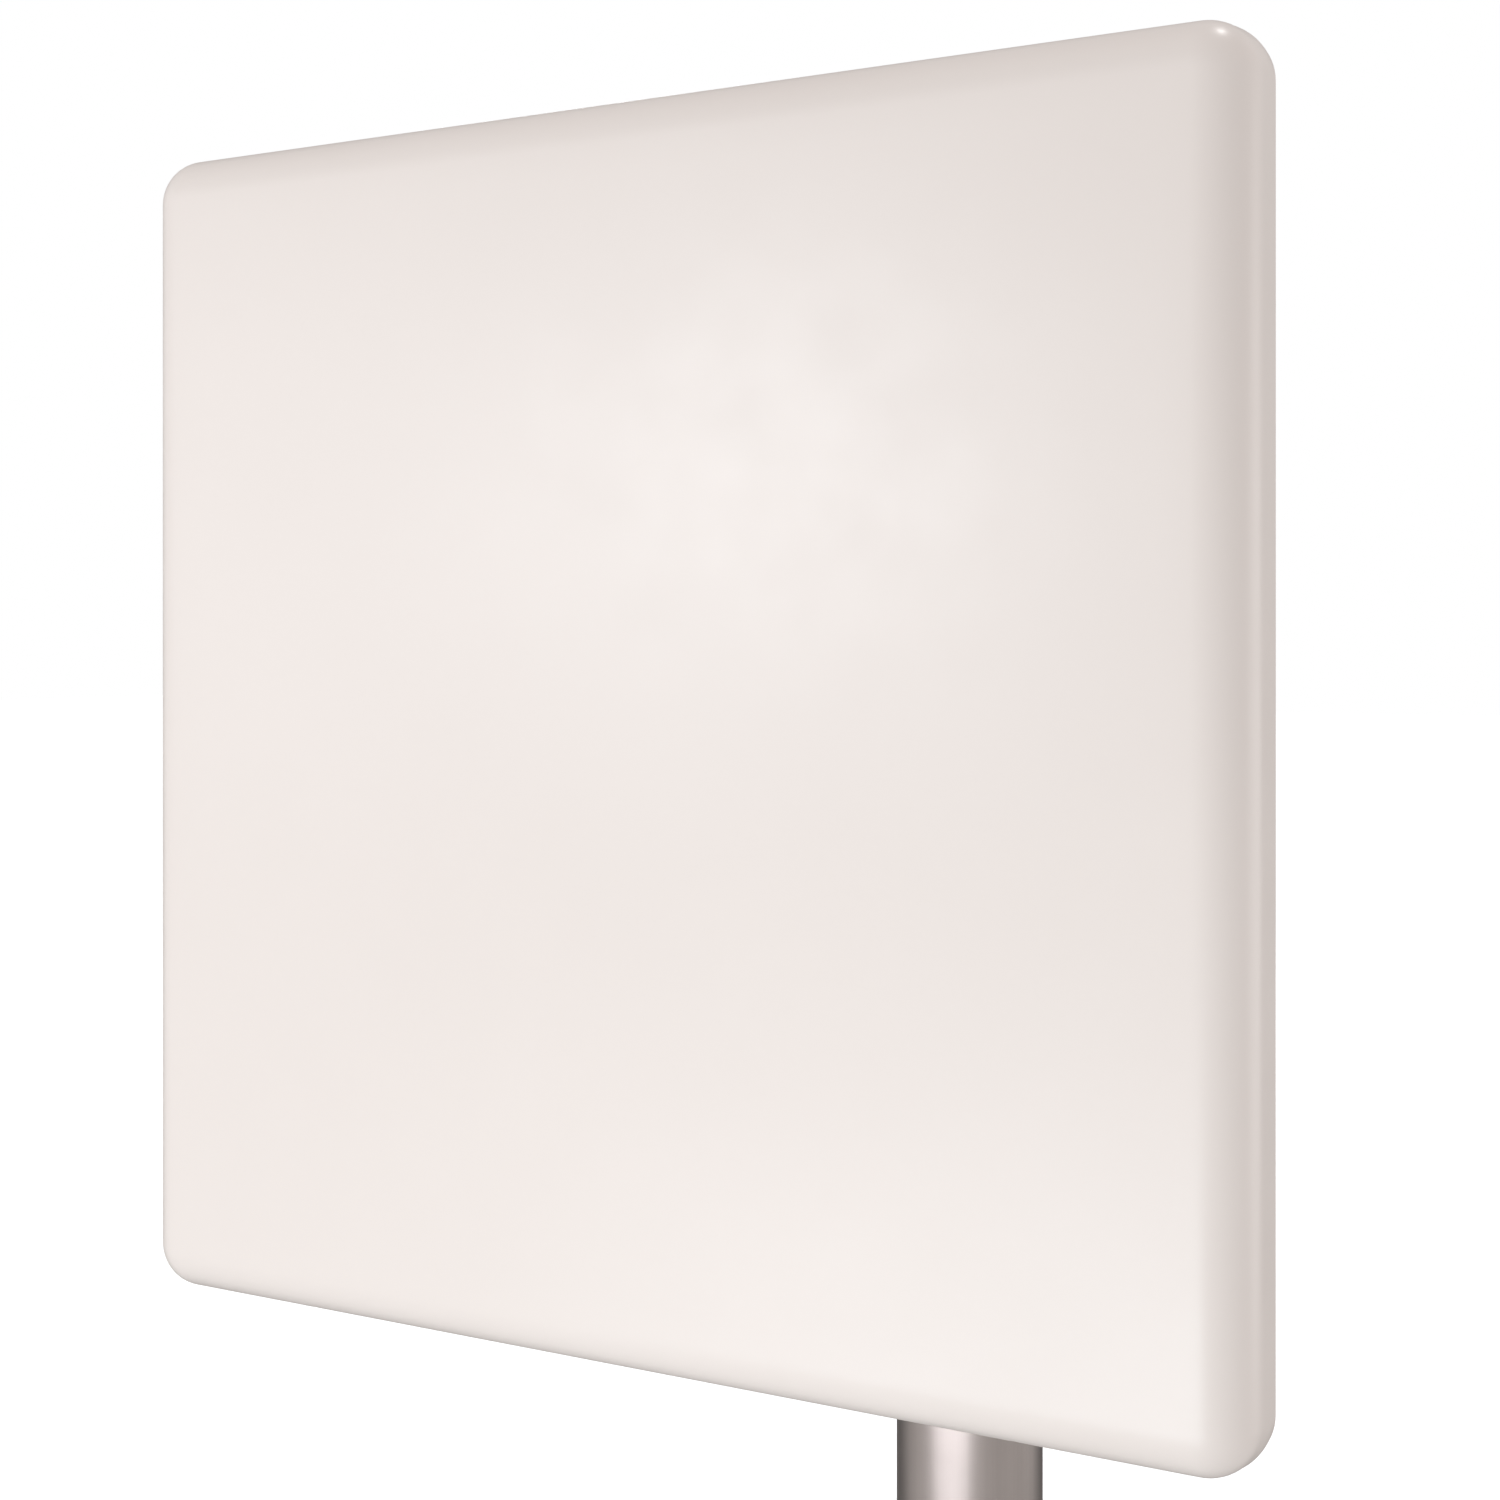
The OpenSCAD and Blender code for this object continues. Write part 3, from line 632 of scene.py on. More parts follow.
def printed_copper():
    """Etched copper with a light bloom of tarnish."""
    shader = Shader("copper", Metallic=1.0)
    tarnish = shader.noise(45, detail=6)
    shader.shade(tarnish, 0.35, 0.7, (0.83, 0.46, 0.30), (0.56, 0.27, 0.18))
    shader.roughness(tarnish, 0.3, 0.7, 0.24, 0.45)
    shader.bump(shader.noise(900), 0.08, 0.03 * MM)
    return shader.material


def moulded_nylon():
    """Natural nylon, slightly see-through, with a fine moulded skin."""
    shader = Shader("nylon", IOR=1.53, Subsurface_Weight=0.1)
    shader.shade(shader.noise(80), 0.3, 0.7, (0.72, 0.69, 0.60), (0.80, 0.78, 0.70))
    shader.roughness(shader.noise(300), 0.3, 0.7, 0.38, 0.5)
    shader.bump(shader.noise(1100), 0.1, 0.05 * MM)
    return shader.material


def ptfe():
    """The jack's insulator: soft white plastic with a waxy sheen."""
    shader = Shader("insulator_ptfe", IOR=1.35, Subsurface_Weight=0.15)
    shader.shade(shader.noise(200), 0.3, 0.7, (0.84, 0.84, 0.82), (0.90, 0.90, 0.88))
    shader.roughness(shader.noise(700), 0.3, 0.7, 0.42, 0.55)
    shader.bump(shader.noise(1500), 0.1, 0.03 * MM)
    return shader.material


def turned_nickel():
    """The jack: nickel plate over fine marks left by the lathe."""
    shader = Shader("jack_nickel", Metallic=1.0)
    clouds = shader.noise(160, detail=4)
    marks = shader.noise(1, detail=3, point=shader.stretched(90, 4200, 90))
    shader.shade(clouds, 0.3, 0.7, (0.62, 0.58, 0.51), (0.72, 0.68, 0.61))
    shader.roughness(shader.plus(marks, 0.4, clouds), 0.4, 1.0, 0.15, 0.26)
    shader.bump(marks, 0.015, 0.02 * MM)
    return shader.material


def contact_gold():
    """A thin gold plate, worn a little paler where the plug rubs."""
    shader = Shader("contact_gold", Metallic=1.0)
    wear = shader.noise(700, detail=4)
    shader.shade(wear, 0.35, 0.7, (0.92, 0.66, 0.28), (0.80, 0.55, 0.24))
    shader.roughness(wear, 0.3, 0.7, 0.2, 0.34)
    shader.bump(wear, 0.05, 0.02 * MM)
    return shader.material


def label_film():
    """Matt white polyester film, with the faint ripple of glue below it."""
    shader = Shader("label_film", IOR=1.5)
    ripple = shader.noise(130, detail=2)
    shader.shade(shader.noise(60, detail=5), 0.3, 0.7, (0.76, 0.76, 0.74), (0.82, 0.82, 0.805))
    shader.roughness(ripple, 0.3, 0.7, 0.34, 0.46)
    shader.bump(ripple, 0.15, 0.1 * MM)
    return shader.material


def label_ink():
    """Dark printing ink, slightly speckled."""
    shader = Shader("label_ink", IOR=1.5)
    speckle = shader.noise(2600, detail=2)
    shader.shade(speckle, 0.35, 0.75, (0.022, 0.026, 0.036), (0.05, 0.055, 0.07))
    shader.roughness(shader.noise(130), 0.3, 0.7, 0.36, 0.48)
    shader.bump(speckle, 0.05, 0.02 * MM)
    return shader.material


def cap_plastic():
    """Black polyethylene with a fine leathery moulding texture and a little dust."""
    shader = Shader("cap_plastic", IOR=1.5)
    skin = shader.cells(900, output="Distance")
    dust = shader.noise(35, detail=6)
    shader.shade(dust, 0.45, 0.8, (0.012, 0.012, 0.013), (0.045, 0.043, 0.04))
    shader.roughness(dust, 0.3, 0.7, 0.42, 0.6)
    shader.bump(skin, 0.2, 0.08 * MM)
    return shader.material


BRACKET = galvanised_steel()
FASTENER = stainless_steel()


# ---------- radome ----------

def rounded_square(half, radius, z, corner_steps=16, side_steps=20):
    """Points round a square whose corners are rounded."""
    points = []
    flat = half - radius
    for quarter in range(4):
        to_quarter = Matrix.Rotation(quarter * TAU / 4, 3, "Z")
        for i in range(corner_steps):
            angle = TAU / 4 * i / corner_steps
            points.append(to_quarter @ Vector(
                (flat + radius * math.cos(angle), flat + radius * math.sin(angle), z)))
        for i in range(side_steps):
            points.append(to_quarter @ Vector((flat - 2 * flat * i / side_steps, half, z)))
    return points


def face_sink(point):
    """How far the moulded face lies below a true plane at a point of the panel's frame."""
    depth = 0.12 * MM
    waves = 9               # per metre
    wave = noise.noise(Vector((point.x * waves, point.y * waves, 4.7)))
    reach = max(abs(point.x), abs(point.y)) / (panel_size / 2)
    return depth * (0.5 + wave) * max(0, 1 - reach ** 4)


def boss_grid(height):
    """The places of the 16 screw bosses round the panel's edge, at a height of its frame."""
    return [shift(i * boss_pitch, j * boss_pitch, height)
            for i in range(-2, 3) for j in range(-2, 3) if max(abs(i), abs(j)) == 2]


def boss():
    """A pillar from the back plate to the face's wall, with a blind bore for its screw."""
    lip = 0.4 * MM
    core_r = 0.5 * MM
    top = panel_depth - radome_wall / 2
    bore_end = plate_top + boss_bore_l
    return lathe([
        (boss_bore_r, plate_top), (boss_r - lip, plate_top), (boss_r, plate_top + lip), (boss_r, top),
        (core_r, top), (core_r, bore_end + 1 * MM), (boss_bore_r, bore_end)], 32)


def radome_shell():
    """The moulded cover with its ledge, screw bosses and two weep holes."""
    half = panel_size / 2
    mesh = Mesh()
    lip = 0.4 * MM
    straight = panel_depth - edge_r
    barrel = 1.2 * MM       # how much tighter the corners are halfway along the straight sides
    # Each entry is (distance in from the side, height), from the face to the rear and inwards
    outside = arc((edge_r, straight), edge_r, 90, 180, 16)
    inside = arc((edge_r, straight), edge_r - radome_wall, 180, 90, 10)
    sides = [(0, straight * step / 6) for step in (5, 4, 3, 2, 1)]
    rear = [(0, lip), (lip, 0), (radome_wall - lip, 0), (radome_wall, lip)]
    ledge = [
        (radome_wall, ledge_z / 2), (radome_wall, ledge_z), (radome_wall + ledge_w, ledge_z),
        (radome_wall + ledge_w, ledge_z + ledge_t), (radome_wall, ledge_z + ledge_t)]
    rings = []
    for inset, height in outside + sides + rear + ledge + inside:
        tighter = barrel * math.sin(math.pi * height / straight) if height < straight else 0
        rings.append(mesh.ring(rounded_square(half - inset, corner_r - inset - tighter, height)))
    # The flat of the face, in shrinking squares, outside and inside
    face_steps = 20
    faces = ((panel_depth, rings[0], True), (panel_depth - radome_wall, rings[-1], False))
    for height, first, outer in faces:
        face = [first]
        for step in range(1, face_steps):
            size = (half - edge_r) * (1 - step / face_steps)
            points = rounded_square(size, size * 0.2 * step / face_steps, height)
            if outer:
                for point in points:
                    point.z -= face_sink(point)
            face.append(mesh.ring(points))
        mesh.skin(list(reversed(face)) if outer else face)
        mesh.cap(face[-1], flip=not outer)
    mesh.skin(rings)
    mesh.add(copies(boss(), boss_grid(0)))

    holes = Mesh()
    for side in (-1, 1):
        hole = lathe([(weep_hole_r, -2 * radome_wall), (weep_hole_r, 2 * radome_wall)], 24, closed=False)
        holes.add(hole, shift(side * weep_hole_x, -half, weep_hole_z) @ turn(90, "X"))
    carve(mesh, holes).piece(
        "radome_shell", "panel", "radome_plastic", "radome", radome_plastic(), PANEL)


# ---------- mast ----------

def mast_tube():
    """The tube, with a wider socket in its lower end for more tube."""
    length = mast_high.z - mast_low.z
    bore_r = mast_r - mast_wall
    socket_r = bore_r + socket_step
    lip = 0.4 * MM
    profile = [
        (mast_r - lip, 0), (mast_r - lip / 3, lip / 3), (mast_r, lip), (mast_r, length / 3),
        (mast_r, length * 2 / 3), (mast_r, length - lip), (mast_r - lip / 3, length - lip / 3),
        (mast_r - lip, length), (bore_r + lip, length), (bore_r, length - lip),
        (bore_r, socket_depth), (socket_r, socket_depth), (socket_r, lip), (socket_r + lip, 0)]
    return lathe(profile, 160).piece("mast_tube", "mast", "mast_steel", "mast", mast_steel())


def mast_end_cap():
    """The plug in the mast's upper end: a domed head with a gate mark, on a hollow spigot."""
    low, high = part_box("mast_cap")
    base = mast_high.z
    head = high.z - base
    plug_r = mast_r - mast_wall - 0.05 * MM
    crown = 3 * MM
    flat_r = mast_r - crown
    profile = [
        (0.6 * MM, base), (0.6 * MM, high.z - 0.5 * MM), (1.8 * MM, high.z - 0.4 * MM),
        (2.2 * MM, high.z), (flat_r * 0.6, high.z), (flat_r, high.z - 0.05 * MM)]
    profile += [
        (flat_r + crown * math.sin(a), high.z - head / 2 + head / 2 * math.cos(a) - 0.05 * MM)
        for a in (TAU / 4 * i / 8 for i in range(1, 9))]
    profile += [
        (mast_r, base + 0.3 * MM), (mast_r - 0.3 * MM, base), (plug_r, base),
        (plug_r, low.z + 0.8 * MM), (plug_r - 0.4 * MM, low.z), (plug_r - cap_wall, low.z),
        (plug_r - cap_wall, base)]
    lathe(profile, 96).piece("mast_end_cap", "mast", "cap_plastic", "mast_cap", cap_plastic())


# ---------- sheet and cast parts, from their CAD shapes with real edges ----------

def eased(node, name, body, material, width):
    """A copy of a CAD node whose sharp edges are rounded."""
    least_angle = math.radians(32)
    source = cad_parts[node].data
    data = bpy.data.meshes.new(name)
    data.from_pydata([v.co for v in source.vertices], [], [tuple(p.vertices) for p in source.polygons])
    work = bmesh.new()
    work.from_mesh(data)
    bmesh.ops.remove_doubles(work, verts=work.verts, dist=0.001 * MM)
    bmesh.ops.dissolve_limit(
        work, angle_limit=math.radians(0.3), verts=work.verts, edges=work.edges,
        use_dissolve_boundaries=False)
    sharp = [e for e in work.edges if e.is_manifold and e.calc_face_angle(0) > least_angle]
    bmesh.ops.bevel(
        work, geom=sharp, offset=width, offset_type="OFFSET", segments=2, profile=0.5,
        affect="EDGES", clamp_overlap=True)
    work.to_mesh(data)
    work.free()
    finish_mesh(data, sharp=60)
    piece = make_piece(name, data, body, node, material)
    normals = piece.modifiers.new("normals", "WEIGHTED_NORMAL")
    normals.keep_sharp = True


def dress(material, *nodes):
    """Gives CAD nodes that stay their finish."""
    for node in nodes:
        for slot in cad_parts[node].material_slots:
            slot.material = material


def weld_bead(start, end, out_a, out_b, leg, ripples):
    """A fillet weld from start to end in the corner between the directions out_a and out_b."""
    run = end - start
    steps = ripples * 6
    sunk = -(out_a + out_b) * 0.3 * MM
    mesh = Mesh()
    rings = []
    for i in range(steps + 1):
        t = i / steps
        drift = noise.noise(Vector((t * 7, start.x * 90, 1)))
        wave = 1 + 0.035 * math.cos(TAU * (ripples * t + 0.6 * drift)) + 0.09 * drift
        taper = min(1, 0.35 + 9 * t, 0.35 + 9 * (1 - t))
        size = leg * wave * taper
        bow = size * 0.62
        centre = start + run * t
        rings.append(mesh.ring([
            centre + sunk, centre + out_a * size + sunk,
            centre + out_a * size * 0.9 + out_b * size * 0.25,
            centre + (out_a + out_b) * bow, centre + out_b * size * 0.9 + out_a * size * 0.25,
            centre + out_b * size + sunk]))
    mesh.solid(rings)
    return mesh


def brackets():
    sheets = (("panel_bracket", "panel"), ("swivel_arm", "swivel_arm"), ("mast_bracket", "mast_clamp"))
    for name, body in sheets:
        eased(name, name + "_sheet", body, BRACKET, 0.4 * MM)
    saddle = cast_aluminium()
    for name in ("upper_saddle", "lower_saddle"):
        eased(name, name + "_cast", "mast_clamp", saddle, 0.35 * MM)
    eased("back_plate", "back_plate_sheet", "panel", rolled_aluminium(), 0.2 * MM)


def arm_welds():
    """Two beads up the sides of the rear channel, where it stands on the front one's web."""
    joint_y = tilt_y + front_channel_l + sheet_t
    half_h = Vector((0, 0, rear_channel_half_h))
    leg = 3 * MM
    ripples = 34
    mesh = Mesh()
    for side in (-1, 1):
        corner = Vector((side * rear_channel_half_w, joint_y, panel_z))
        mesh.add(weld_bead(
            corner - half_h, corner + half_h, Vector((side, 0, 0)), Vector((0, 1, 0)), leg, ripples))
    mesh.piece("swivel_arm_welds", "swivel_arm", "bracket_steel", None, BRACKET)


# ---------- fasteners in their places ----------

def fastener(name, mesh, places, body, node):
    """One piece made of a copy of a stainless steel fastener at each place."""
    copies(mesh, places).piece(name, body, "stainless_steel", node, FASTENER)


def four_ways(across, along, height):
    """The four places at those distances to either side of a middle."""
    return [shift(x * across, z * along, height) for x in (-1, 1) for z in (-1, 1)]


def tilt_sides(up):
    """Places on the outsides of the panel bracket's two ears, up from the tilt axis."""
    return [shift(side * ear_outer_x, tilt_y, panel_z + up) @ turn(side * 90, "Y") for side in (-1, 1)]


def swivel_ends(ahead):
    """Places on the outsides of the mast bracket's two flanges, ahead of the swivel axis."""
    return [shift(0, swivel_y - ahead, panel_z + side * flange_outer) @ turn(0 if side > 0 else 180, "X")
            for side in (-1, 1)]


def u_legs():
    """Places on the mast bracket's web, round the four legs of the U-bolts."""
    return [shift(x * u_bend_r, web_front_y, panel_z + z * u_bolt_z) @ turn(90, "X")
            for x in (-1, 1) for z in (-1, 1)]


def on_foot():
    """Places on the panel bracket's foot, round the four studs."""
    return [PANEL @ place @ turn(180, "X") for place in four_ways(stud_x, stud_z, plate_inset - sheet_t)]


def lifted(places, *heights):
    """The places, each moved along its own axis by each of the heights."""
    return [place @ shift(0, 0, height) for place in places for height in heights]


def turned(places):
    """The places, each turned by its own odd angle, as hand-tightened screws end up."""
    return [place @ turn(17 + 37 * i, "Z") for i, place in enumerate(places)]


def hinge_fasteners(kind, places, body):
    """Screws from outside, each with two washers and a nut inside both sheets."""
    inner = -2 * sheet_t - gap - M8.washer_t
    fastener(kind + "_screws", hex_bolt(M8, hinge_bolt_l, 14 * MM),
             turned(lifted(places, gap + M8.washer_t)), body, kind + "_bolts")
    fastener(kind + "_flat_washers", flat_washer(M8), lifted(places, gap, inner), body, kind + "_washers")
    fastener(kind + "_hex_nuts", hex_nut(M8), turned(lifted(places, inner - M8.nut)), body,
             kind + "_nuts")


def washers_and_nuts(name, size, places, body, node):
    """A flat washer, a split lock washer and a nut, one on the other, at each place."""
    fastener(name + "_flat_washers", flat_washer(size), places, body, node + "_washers")
    fastener(name + "_lock_washers", spring_washer(size), turned(lifted(places, size.washer_t)), body,
             node + "_spring_washers")
    fastener(name + "_hex_nuts", hex_nut(size), turned(lifted(places, size.washer_t + size.spring_t)),
             body, node + "_nuts")


def swivel_fasteners():
    """The swivel bolt right through the bracket, and the sleeve that it turns in."""
    top = flange_outer + M10.washer_t
    length = 2 * top + M10.nut + swivel_bolt_end
    centre = shift(0, swivel_y, panel_z)
    fastener("swivel_screw", hex_bolt(M10, length, 26 * MM), turned([centre @ shift(0, 0, top)]),
             "mast_clamp", "swivel_bolt")
    fastener("swivel_flat_washers", flat_washer(M10), swivel_ends(0), "mast_clamp", "swivel_washers")
    fastener("swivel_hex_nut", hex_nut(M10), turned([centre @ shift(0, 0, -top) @ turn(180, "X")]),
             "mast_clamp", "swivel_nut")
    height = spacer_high.z - spacer_low.z
    outer = spacer_high.x
    bore_r = M10.shank + 0.05 * MM
    ease = 0.4 * MM
    sleeve = lathe([(bore_r, 0), (outer - ease, 0), (outer, ease), (outer, height - ease),
                    (outer - ease, height), (bore_r, height)], 64)
    sleeve.piece("swivel_sleeve", "swivel_arm", "stainless_steel", "swivel_spacer", FASTENER,
                 shift(0, swivel_y, spacer_low.z))


def studs():
    """Four studs clinched into the back plate, with the washers and nuts on the bracket's foot."""
    shank = thread_profile(M6.shank, M6.pitch, -stud_out, -2 * MM)
    stud = lathe(shank + [(M6.shank, plate_top + 0.2 * MM)], 32, closed=False)
    stud.add(lathe([
        (stud_head_r - 0.3 * MM, plate_top), (stud_head_r, plate_top + 0.3 * MM),
        (stud_head_r, plate_top + stud_head_t - 0.4 * MM),
        (stud_head_r - 0.4 * MM, plate_top + stud_head_t)], 40, closed=False))
    places = [PANEL @ place for place in four_ways(stud_x, stud_z, 0)]
    fastener("clinch_studs", stud, places, "panel", "mounting_studs")
    washers_and_nuts("stud", M6, on_foot(), "panel", "stud")


def u_bolt(name, node, z):
    """A rod bent round the back of the mast, threaded along the front of both legs."""
    tip_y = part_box(node)[0].y
    leg = thread_profile(M8.shank, M8.pitch, tip_y, tip_y + u_bolt_threaded)
    up = Vector((0, 0, 1))
    bend_steps = 30

    def plain(angle):
        return M8.shank

    stations = [(Vector((u_bend_r, y, 0)), Vector((1, 0, 0)), up, radius) for radius, y in leg]
    for i in range(bend_steps + 1):
        a = math.pi * i / bend_steps
        side = Vector((math.cos(a), math.sin(a), 0))
        stations.append((side * u_bend_r, side, up, plain))
    stations += [
        (Vector((-u_bend_r, y, 0)), Vector((-1, 0, 0)), up, radius) for radius, y in reversed(leg)]
    fastener(name, tube(stations, 32), [shift(0, 0, z)], "mast_clamp", node)


def mast_clamps():
    """Both U-bolts with the washers and nuts on their legs."""
    u_bolt("upper_clamp_rod", "upper_u_bolt", panel_z + u_bolt_z)
    u_bolt("lower_clamp_rod", "lower_u_bolt", panel_z - u_bolt_z)
    washers_and_nuts("clamp", M8, u_legs(), "mast_clamp", "u_bolt")


def small_screws():
    """The pan-head screws in the back plate and in the jack's flange."""
    rear = turn(180, "X")
    bosses = [PANEL @ place @ rear for place in boss_grid(plate_inset)]
    fastener("plate_pan_screws", pan_screw(PLATE_SCREW), turned(bosses), "panel",
             "back_plate_screws")
    spacers = []
    for x in (-1, 1):
        for z in (-1, 1):
            spacers += [
                (x * spacer_corner, z * spacer_corner), (x * 3 * spacer_pitch, z * spacer_pitch),
                (x * spacer_pitch, z * 3 * spacer_pitch)]
    fastener("spacer_pan_screws", pan_screw(SPACER_SCREW),
             turned([PANEL @ shift(x, z, plate_inset) @ rear for x, z in spacers]), "panel",
             "spacer_screws")
    jack_face = PANEL @ shift(0, jack_y, -jack_flange_t)
    fastener("jack_pan_screws", pan_screw(JACK_SCREW),
             turned([jack_face @ place @ rear for place in jack_corners()]), "panel", "jack_screws")


# ---------- jack ----------

def jack_corners():
    """The places of the four screws, from the jack's centre."""
    return four_ways(jack_hole_pitch / 2, jack_hole_pitch / 2, 0)


def jack():
    """A flanged jack: a threaded barrel with a stepped bore, on a square plate."""
    mouth = -jack_flange_t - jack_barrel_l
    ease = 0.25 * MM
    sunk = 0.2 * MM         # how far the barrel and the spigot reach into the plate
    plate = Mesh()
    half = jack_flange / 2
    plate.solid([
        plate.ring(rounded_square(half - inset, jack_corner_r - inset, z, 8, 2))
        for inset, z in ((ease, -jack_flange_t), (0, -jack_flange_t + ease), (0, -ease), (ease, 0))])
    low, high = -2 * jack_flange_t, jack_flange_t
    holes = lathe([(jack_insulator_r, low), (jack_insulator_r, high)], 40, closed=False)
    screw_hole = lathe([(jack_hole_r, low), (jack_hole_r, high)], 24, closed=False)
    holes.add(copies(screw_hole, jack_corners()))
    body = carve(plate, holes)
    neck = 1.2 * MM
    neck_r = jack_barrel_r - thread_depth * jack_pitch
    thread_end = -jack_flange_t - neck
    bore_floor = -jack_flange_t - jack_bore_floor
    thread = thread_profile(jack_barrel_r, jack_pitch, mouth, thread_end)
    body.add(lathe([(jack_bore_r + ease, mouth)] + thread + [
        (neck_r, thread_end + 0.3 * MM), (neck_r, -jack_flange_t - sunk),
        (jack_barrel_r, -jack_flange_t + sunk), (jack_insulator_r, -jack_flange_t + sunk),
        (jack_insulator_r, bore_floor), (jack_bore_r, bore_floor), (jack_bore_r, mouth + ease)], 64))
    body.add(lathe([
        (jack_insulator_r, -sunk), (jack_spigot_r, -sunk), (jack_spigot_r, jack_spigot_l - ease),
        (jack_spigot_r - ease, jack_spigot_l), (jack_insulator_r, jack_spigot_l)], 48))
    body.piece("jack_threaded_body", "panel", "jack_nickel", "jack_body", turned_nickel(),
               PANEL @ shift(0, jack_y, 0))


def label_arrow():
    """The printed arrow that fills the label's cut-out."""
    low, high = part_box("polarity_label")
    label_middle = middle("polarity_label", Z) - panel_z
    arrow_l, arrow_w, shaft_w, shaft_l = 40 * MM, 18 * MM, 4 * MM, 26 * MM
    outline = [(-shaft_w / 2, 0), (shaft_w / 2, 0), (shaft_w / 2, shaft_l), (arrow_w / 2, shaft_l),
               (0, arrow_l), (-arrow_w / 2, shaft_l), (-shaft_w / 2, shaft_l)]
    thick = (high.y - low.y) * 0.85
    mesh = Mesh()
    mesh.solid([mesh.ring([(x, z, y) for x, z in outline]) for y in (0, thick)])
    mesh.piece("polarity_arrow", "panel", "label_film", None, label_ink(),
               PANEL @ shift(0, label_middle - arrow_l / 2, plate_inset - thick))


radome_shell()
mast = mast_tube()
mast_end_cap()
brackets()
arm_welds()
hinge_fasteners("tilt_pivot", tilt_sides(0), "swivel_arm")
hinge_fasteners("tilt_lock", tilt_sides(tilt_slot_r), "swivel_arm")
hinge_fasteners("swivel_lock", swivel_ends(swivel_slot_r), "swivel_arm")
swivel_fasteners()
studs()
mast_clamps()
small_screws()
jack()
label_arrow()
dress(seal_rubber(), "seal_ring", "jack_gasket")
dress(board_laminate(), "patch_board")
dress(printed_copper(), "patch_copper")
dress(moulded_nylon(), "board_spacers", "board_screws")
dress(ptfe(), "jack_insulator")
dress(contact_gold(), "jack_contact")
dress(label_film(), "polarity_label")


# ---------- camera ----------

azimuth = math.radians(30)
camera_aside, camera_back, camera_up = 0.1037, 1.7514, 0.0760    # in widths of the panel
camera_right = Vector((math.cos(azimuth), math.sin(azimuth), 0))
camera_forward = Vector((-math.sin(azimuth), math.cos(azimuth), 0))
camera_data = bpy.data.cameras.new("camera")
camera_data.sensor_width = 36
camera_data.lens = 54.2
camera_data.shift_y = -0.0747
camera_data.clip_start = 0.01
camera_data.clip_end = 50
camera = bpy.data.objects.new("camera", camera_data)
scene.collection.objects.link(camera)
offset = camera_right * camera_aside - camera_forward * camera_back + Vector((0, 0, camera_up))
camera.location = face_centre + offset * panel_size
camera.rotation_euler = (math.radians(90), 0, azimuth)
scene.camera = camera


# ---------- studio ----------

scene.view_settings.view_transform = "Standard"


def studio_world(seen, floor_level, wall_level, ceiling_level, backdrop):
    """A white room as the camera sees it. The object is lit by pale walls, by a dimmer floor and
    ceiling, and by a darker backdrop, which rims its outline and its metal."""
    world = bpy.data.worlds.new("studio")
    scene.world = world
    world.use_nodes = True
    tree = world.node_tree
    background = tree.nodes["Background"]
    background.inputs["Color"].default_value = (1, 1, 1, 1)
    direction = tree.nodes.new("ShaderNodeTexCoord").outputs["Generated"]

    def ramp(value, low, high, stops):
        """A level that follows the value: each stop is (place from low to high, level)."""
        place = tree.nodes.new("ShaderNodeMapRange")
        place.inputs["From Min"].default_value = low
        place.inputs["From Max"].default_value = high
        tree.links.new(value, place.inputs["Value"])
        levels = tree.nodes.new("ShaderNodeValToRGB")
        elements = levels.color_ramp.elements
        while len(elements) < len(stops):
            elements.new(0.5)
        for element, (position, level) in zip(elements, stops):
            element.position = position
            element.color = (level, level, level, 1)
        tree.links.new(place.outputs["Result"], levels.inputs["Fac"])
        return levels.outputs["Color"]

    height = tree.nodes.new("ShaderNodeSeparateXYZ")
    tree.links.new(direction, height.inputs[0])
    room = ramp(height.outputs["Z"], -1, 1, (
        (0, floor_level), (0.4, wall_level), (0.6, wall_level), (1, ceiling_level)))
    # The backdrop's middle lies a little below the horizon; its edge is soft, between two cosines
    drop, edge_outside, edge_inside = 0.25, 0.45, 0.82
    ahead = tree.nodes.new("ShaderNodeVectorMath")
    ahead.operation = "DOT_PRODUCT"
    ahead.inputs[1].default_value = (camera_forward - Vector((0, 0, drop))).normalized()
    tree.links.new(direction, ahead.inputs[0])
    behind = ramp(ahead.outputs["Value"], edge_outside, edge_inside, ((0, 1), (1, backdrop)))
    lit = tree.nodes.new("ShaderNodeMath")
    lit.operation = "MULTIPLY"
    tree.links.new(room, lit.inputs[0])
    tree.links.new(behind, lit.inputs[1])
    path = tree.nodes.new("ShaderNodeLightPath")
    strength = tree.nodes.new("ShaderNodeMapRange")
    strength.inputs["To Max"].default_value = seen
    tree.links.new(lit.outputs["Value"], strength.inputs["To Min"])
    tree.links.new(path.outputs["Is Camera Ray"], strength.inputs["Value"])
    tree.links.new(strength.outputs["Result"], background.inputs["Strength"])


def area_light(name, location, target, size, power, colour=(1, 1, 1), only=()):
    """A round soft light, in metres and watts. It lights every object, or those in only."""
    data = bpy.data.lights.new(name, "AREA")
    data.shape = "DISK"
    data.size = size
    data.energy = power
    data.color = colour
    light = bpy.data.objects.new(name, data)
    light.location = location
    light.rotation_euler = (Vector(target) - Vector(location)).to_track_quat("-Z", "Y").to_euler()
    light.visible_camera = False
    scene.collection.objects.link(light)
    if only:
        lit = bpy.data.collections.new(name + "_lit")
        for piece in only:
            lit.objects.link(piece)
        light.light_linking.receiver_collection = lit


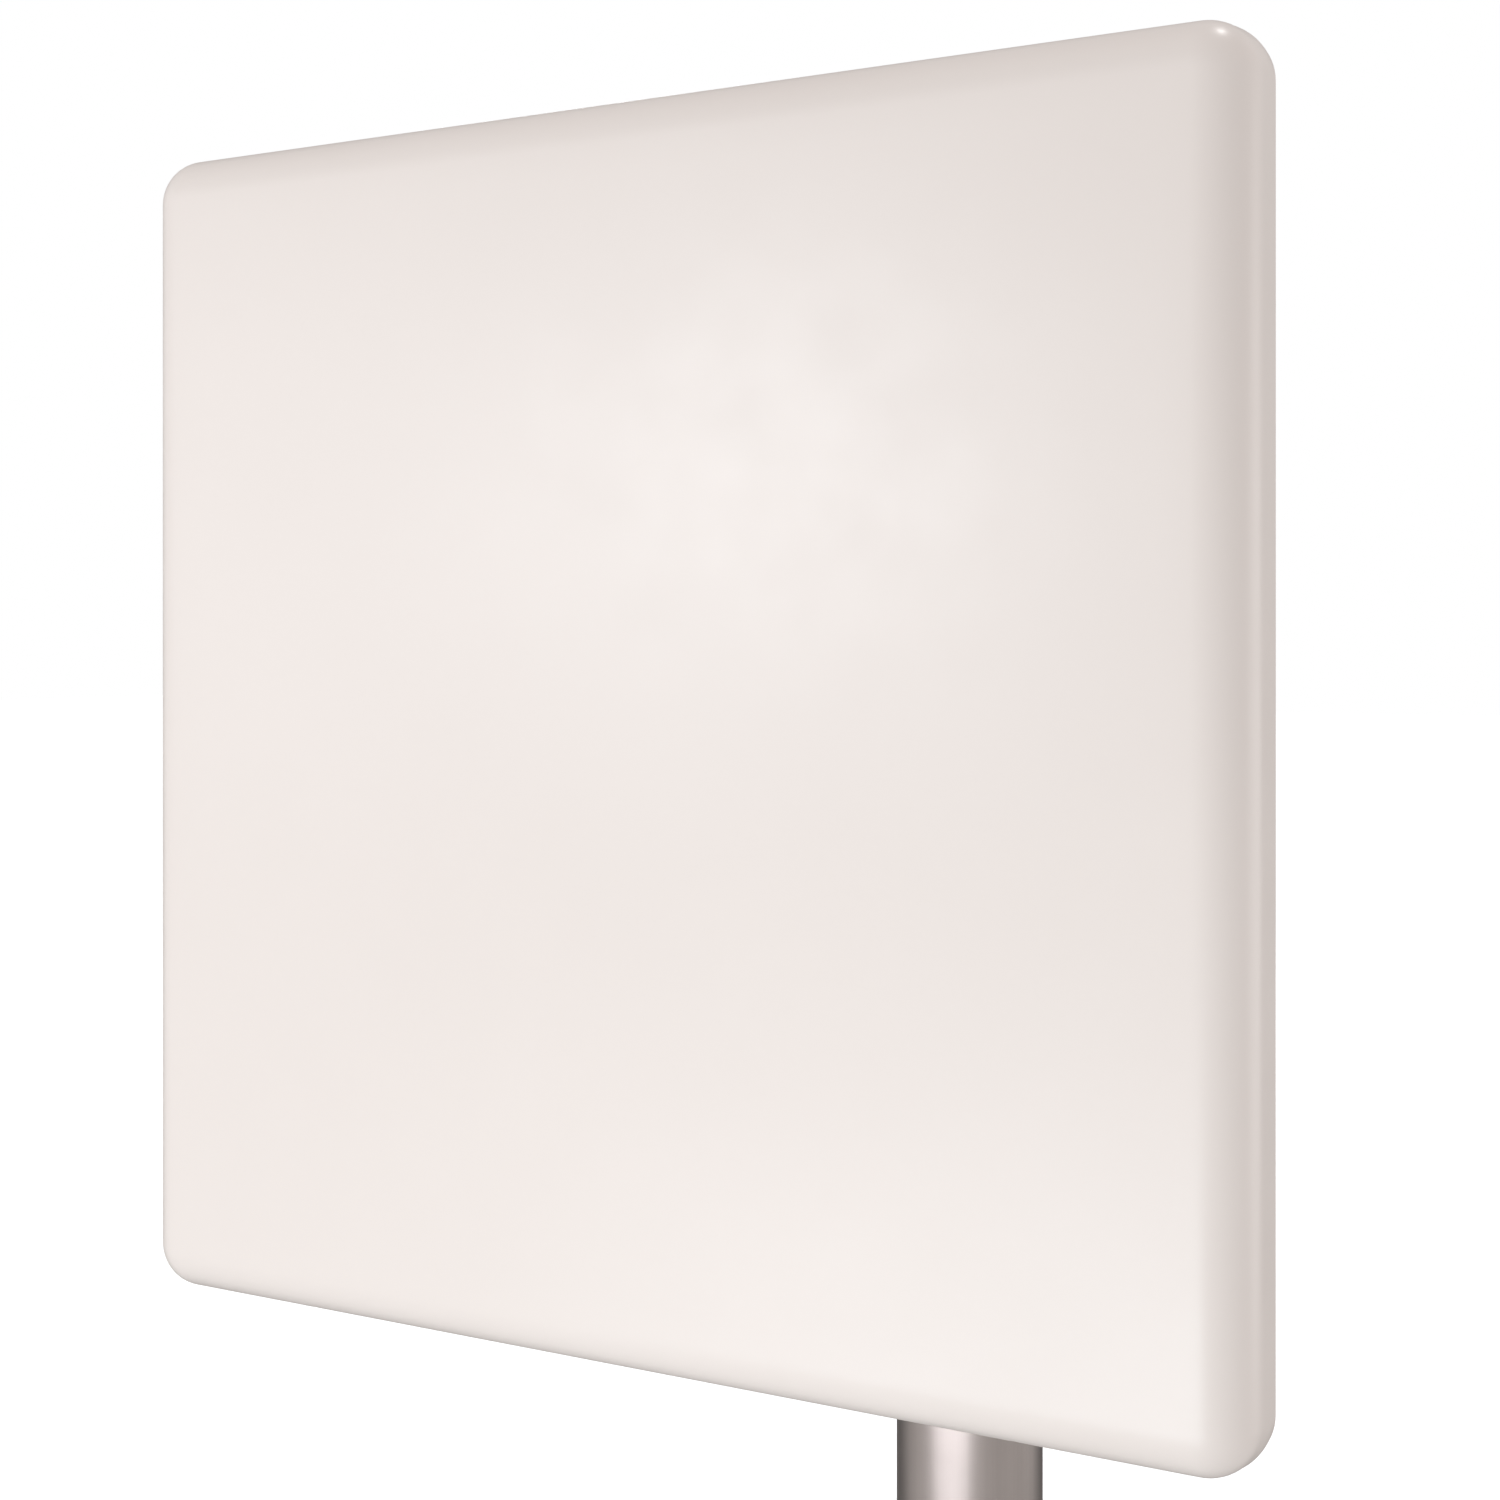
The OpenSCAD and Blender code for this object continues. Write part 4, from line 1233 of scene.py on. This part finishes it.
def studio_floor():
    """A wide sheet of pale paper just below the mast. It takes no part in lighting the object."""
    half = 9
    z = -2 * MM
    data = bpy.data.meshes.new("floor")
    corners = [(-half, -half, z), (half, -half, z), (half, half, z), (-half, half, z)]
    data.from_pydata(corners, [], [(0, 1, 2, 3)])
    floor = bpy.data.objects.new("floor", data)
    scene.collection.objects.link(floor)
    paper = Shader("floor_paper", Roughness=0.9, Emission_Color=(1, 1, 1, 1), Emission_Strength=0.6)
    paper.colour(paper.blend(paper.noise(6, detail=4), (0.86, 0.86, 0.86, 1), (0.9, 0.9, 0.9, 1)))
    data.materials.append(paper.material)
    floor.visible_diffuse = False
    floor.visible_glossy = False
    floor.visible_shadow = False


COOL = (0.9, 0.96, 1.0)
COOLER = (0.85, 0.95, 1.0)
BLUISH = (0.9, 0.93, 1.0)
bracket_centre = (0, -0.1, 0.3)
mast_bottom = (0, 0, 0.08)
studio_world(seen=1.0, floor_level=0.51, wall_level=0.65, ceiling_level=0.53, backdrop=0.12)
# Over the radome's face, from its left and from below
area_light("key", (-0.6, -1.34, 0.46), face_centre, 0.2, 1.43, COOL)
area_light("upper_key", (-0.45, -1.3, 0.5), face_centre + Vector((0, 0, 0.03)), 0.2, 0.9, COOL)
area_light("near_left", (-0.3, -0.75, 0.37), face_centre + Vector((0, 0, 0.05)), 0.3, 0.14, COOL)
area_light("far_left", (-0.45, -0.6, 0.42), face_centre + Vector((-0.15, 0, 0.1)), 0.3, 0.24, COOL)
area_light("low_fill", (-0.15, -0.74, -0.04), face_centre - Vector((0, 0, 0.1)), 0.25, 0.4, COOLER)
area_light("low_right", (0.1, -0.65, -0.02), face_centre + Vector((0.05, 0, -0.14)), 0.25, 0.55, COOLER)
# A small high light that glints on the upper right corner, and the streak down the mast
area_light("corner_light", (0.468, 0.13, 1.891), face_centre + Vector((0.15, 0, 0.15)), 0.1, 4)
area_light("mast_light", (-0.1, -1.15, -0.28), mast_bottom, 1.5, 10.5, BLUISH, only=[mast])
# From behind, for the bracket and the back plate
area_light("rear_left", (-1.0, 1.3, 0.75), bracket_centre, 0.7, 9)
area_light("rear_right", (1.5, 0.8, 0.2), bracket_centre, 1.2, 4.6)
studio_floor()
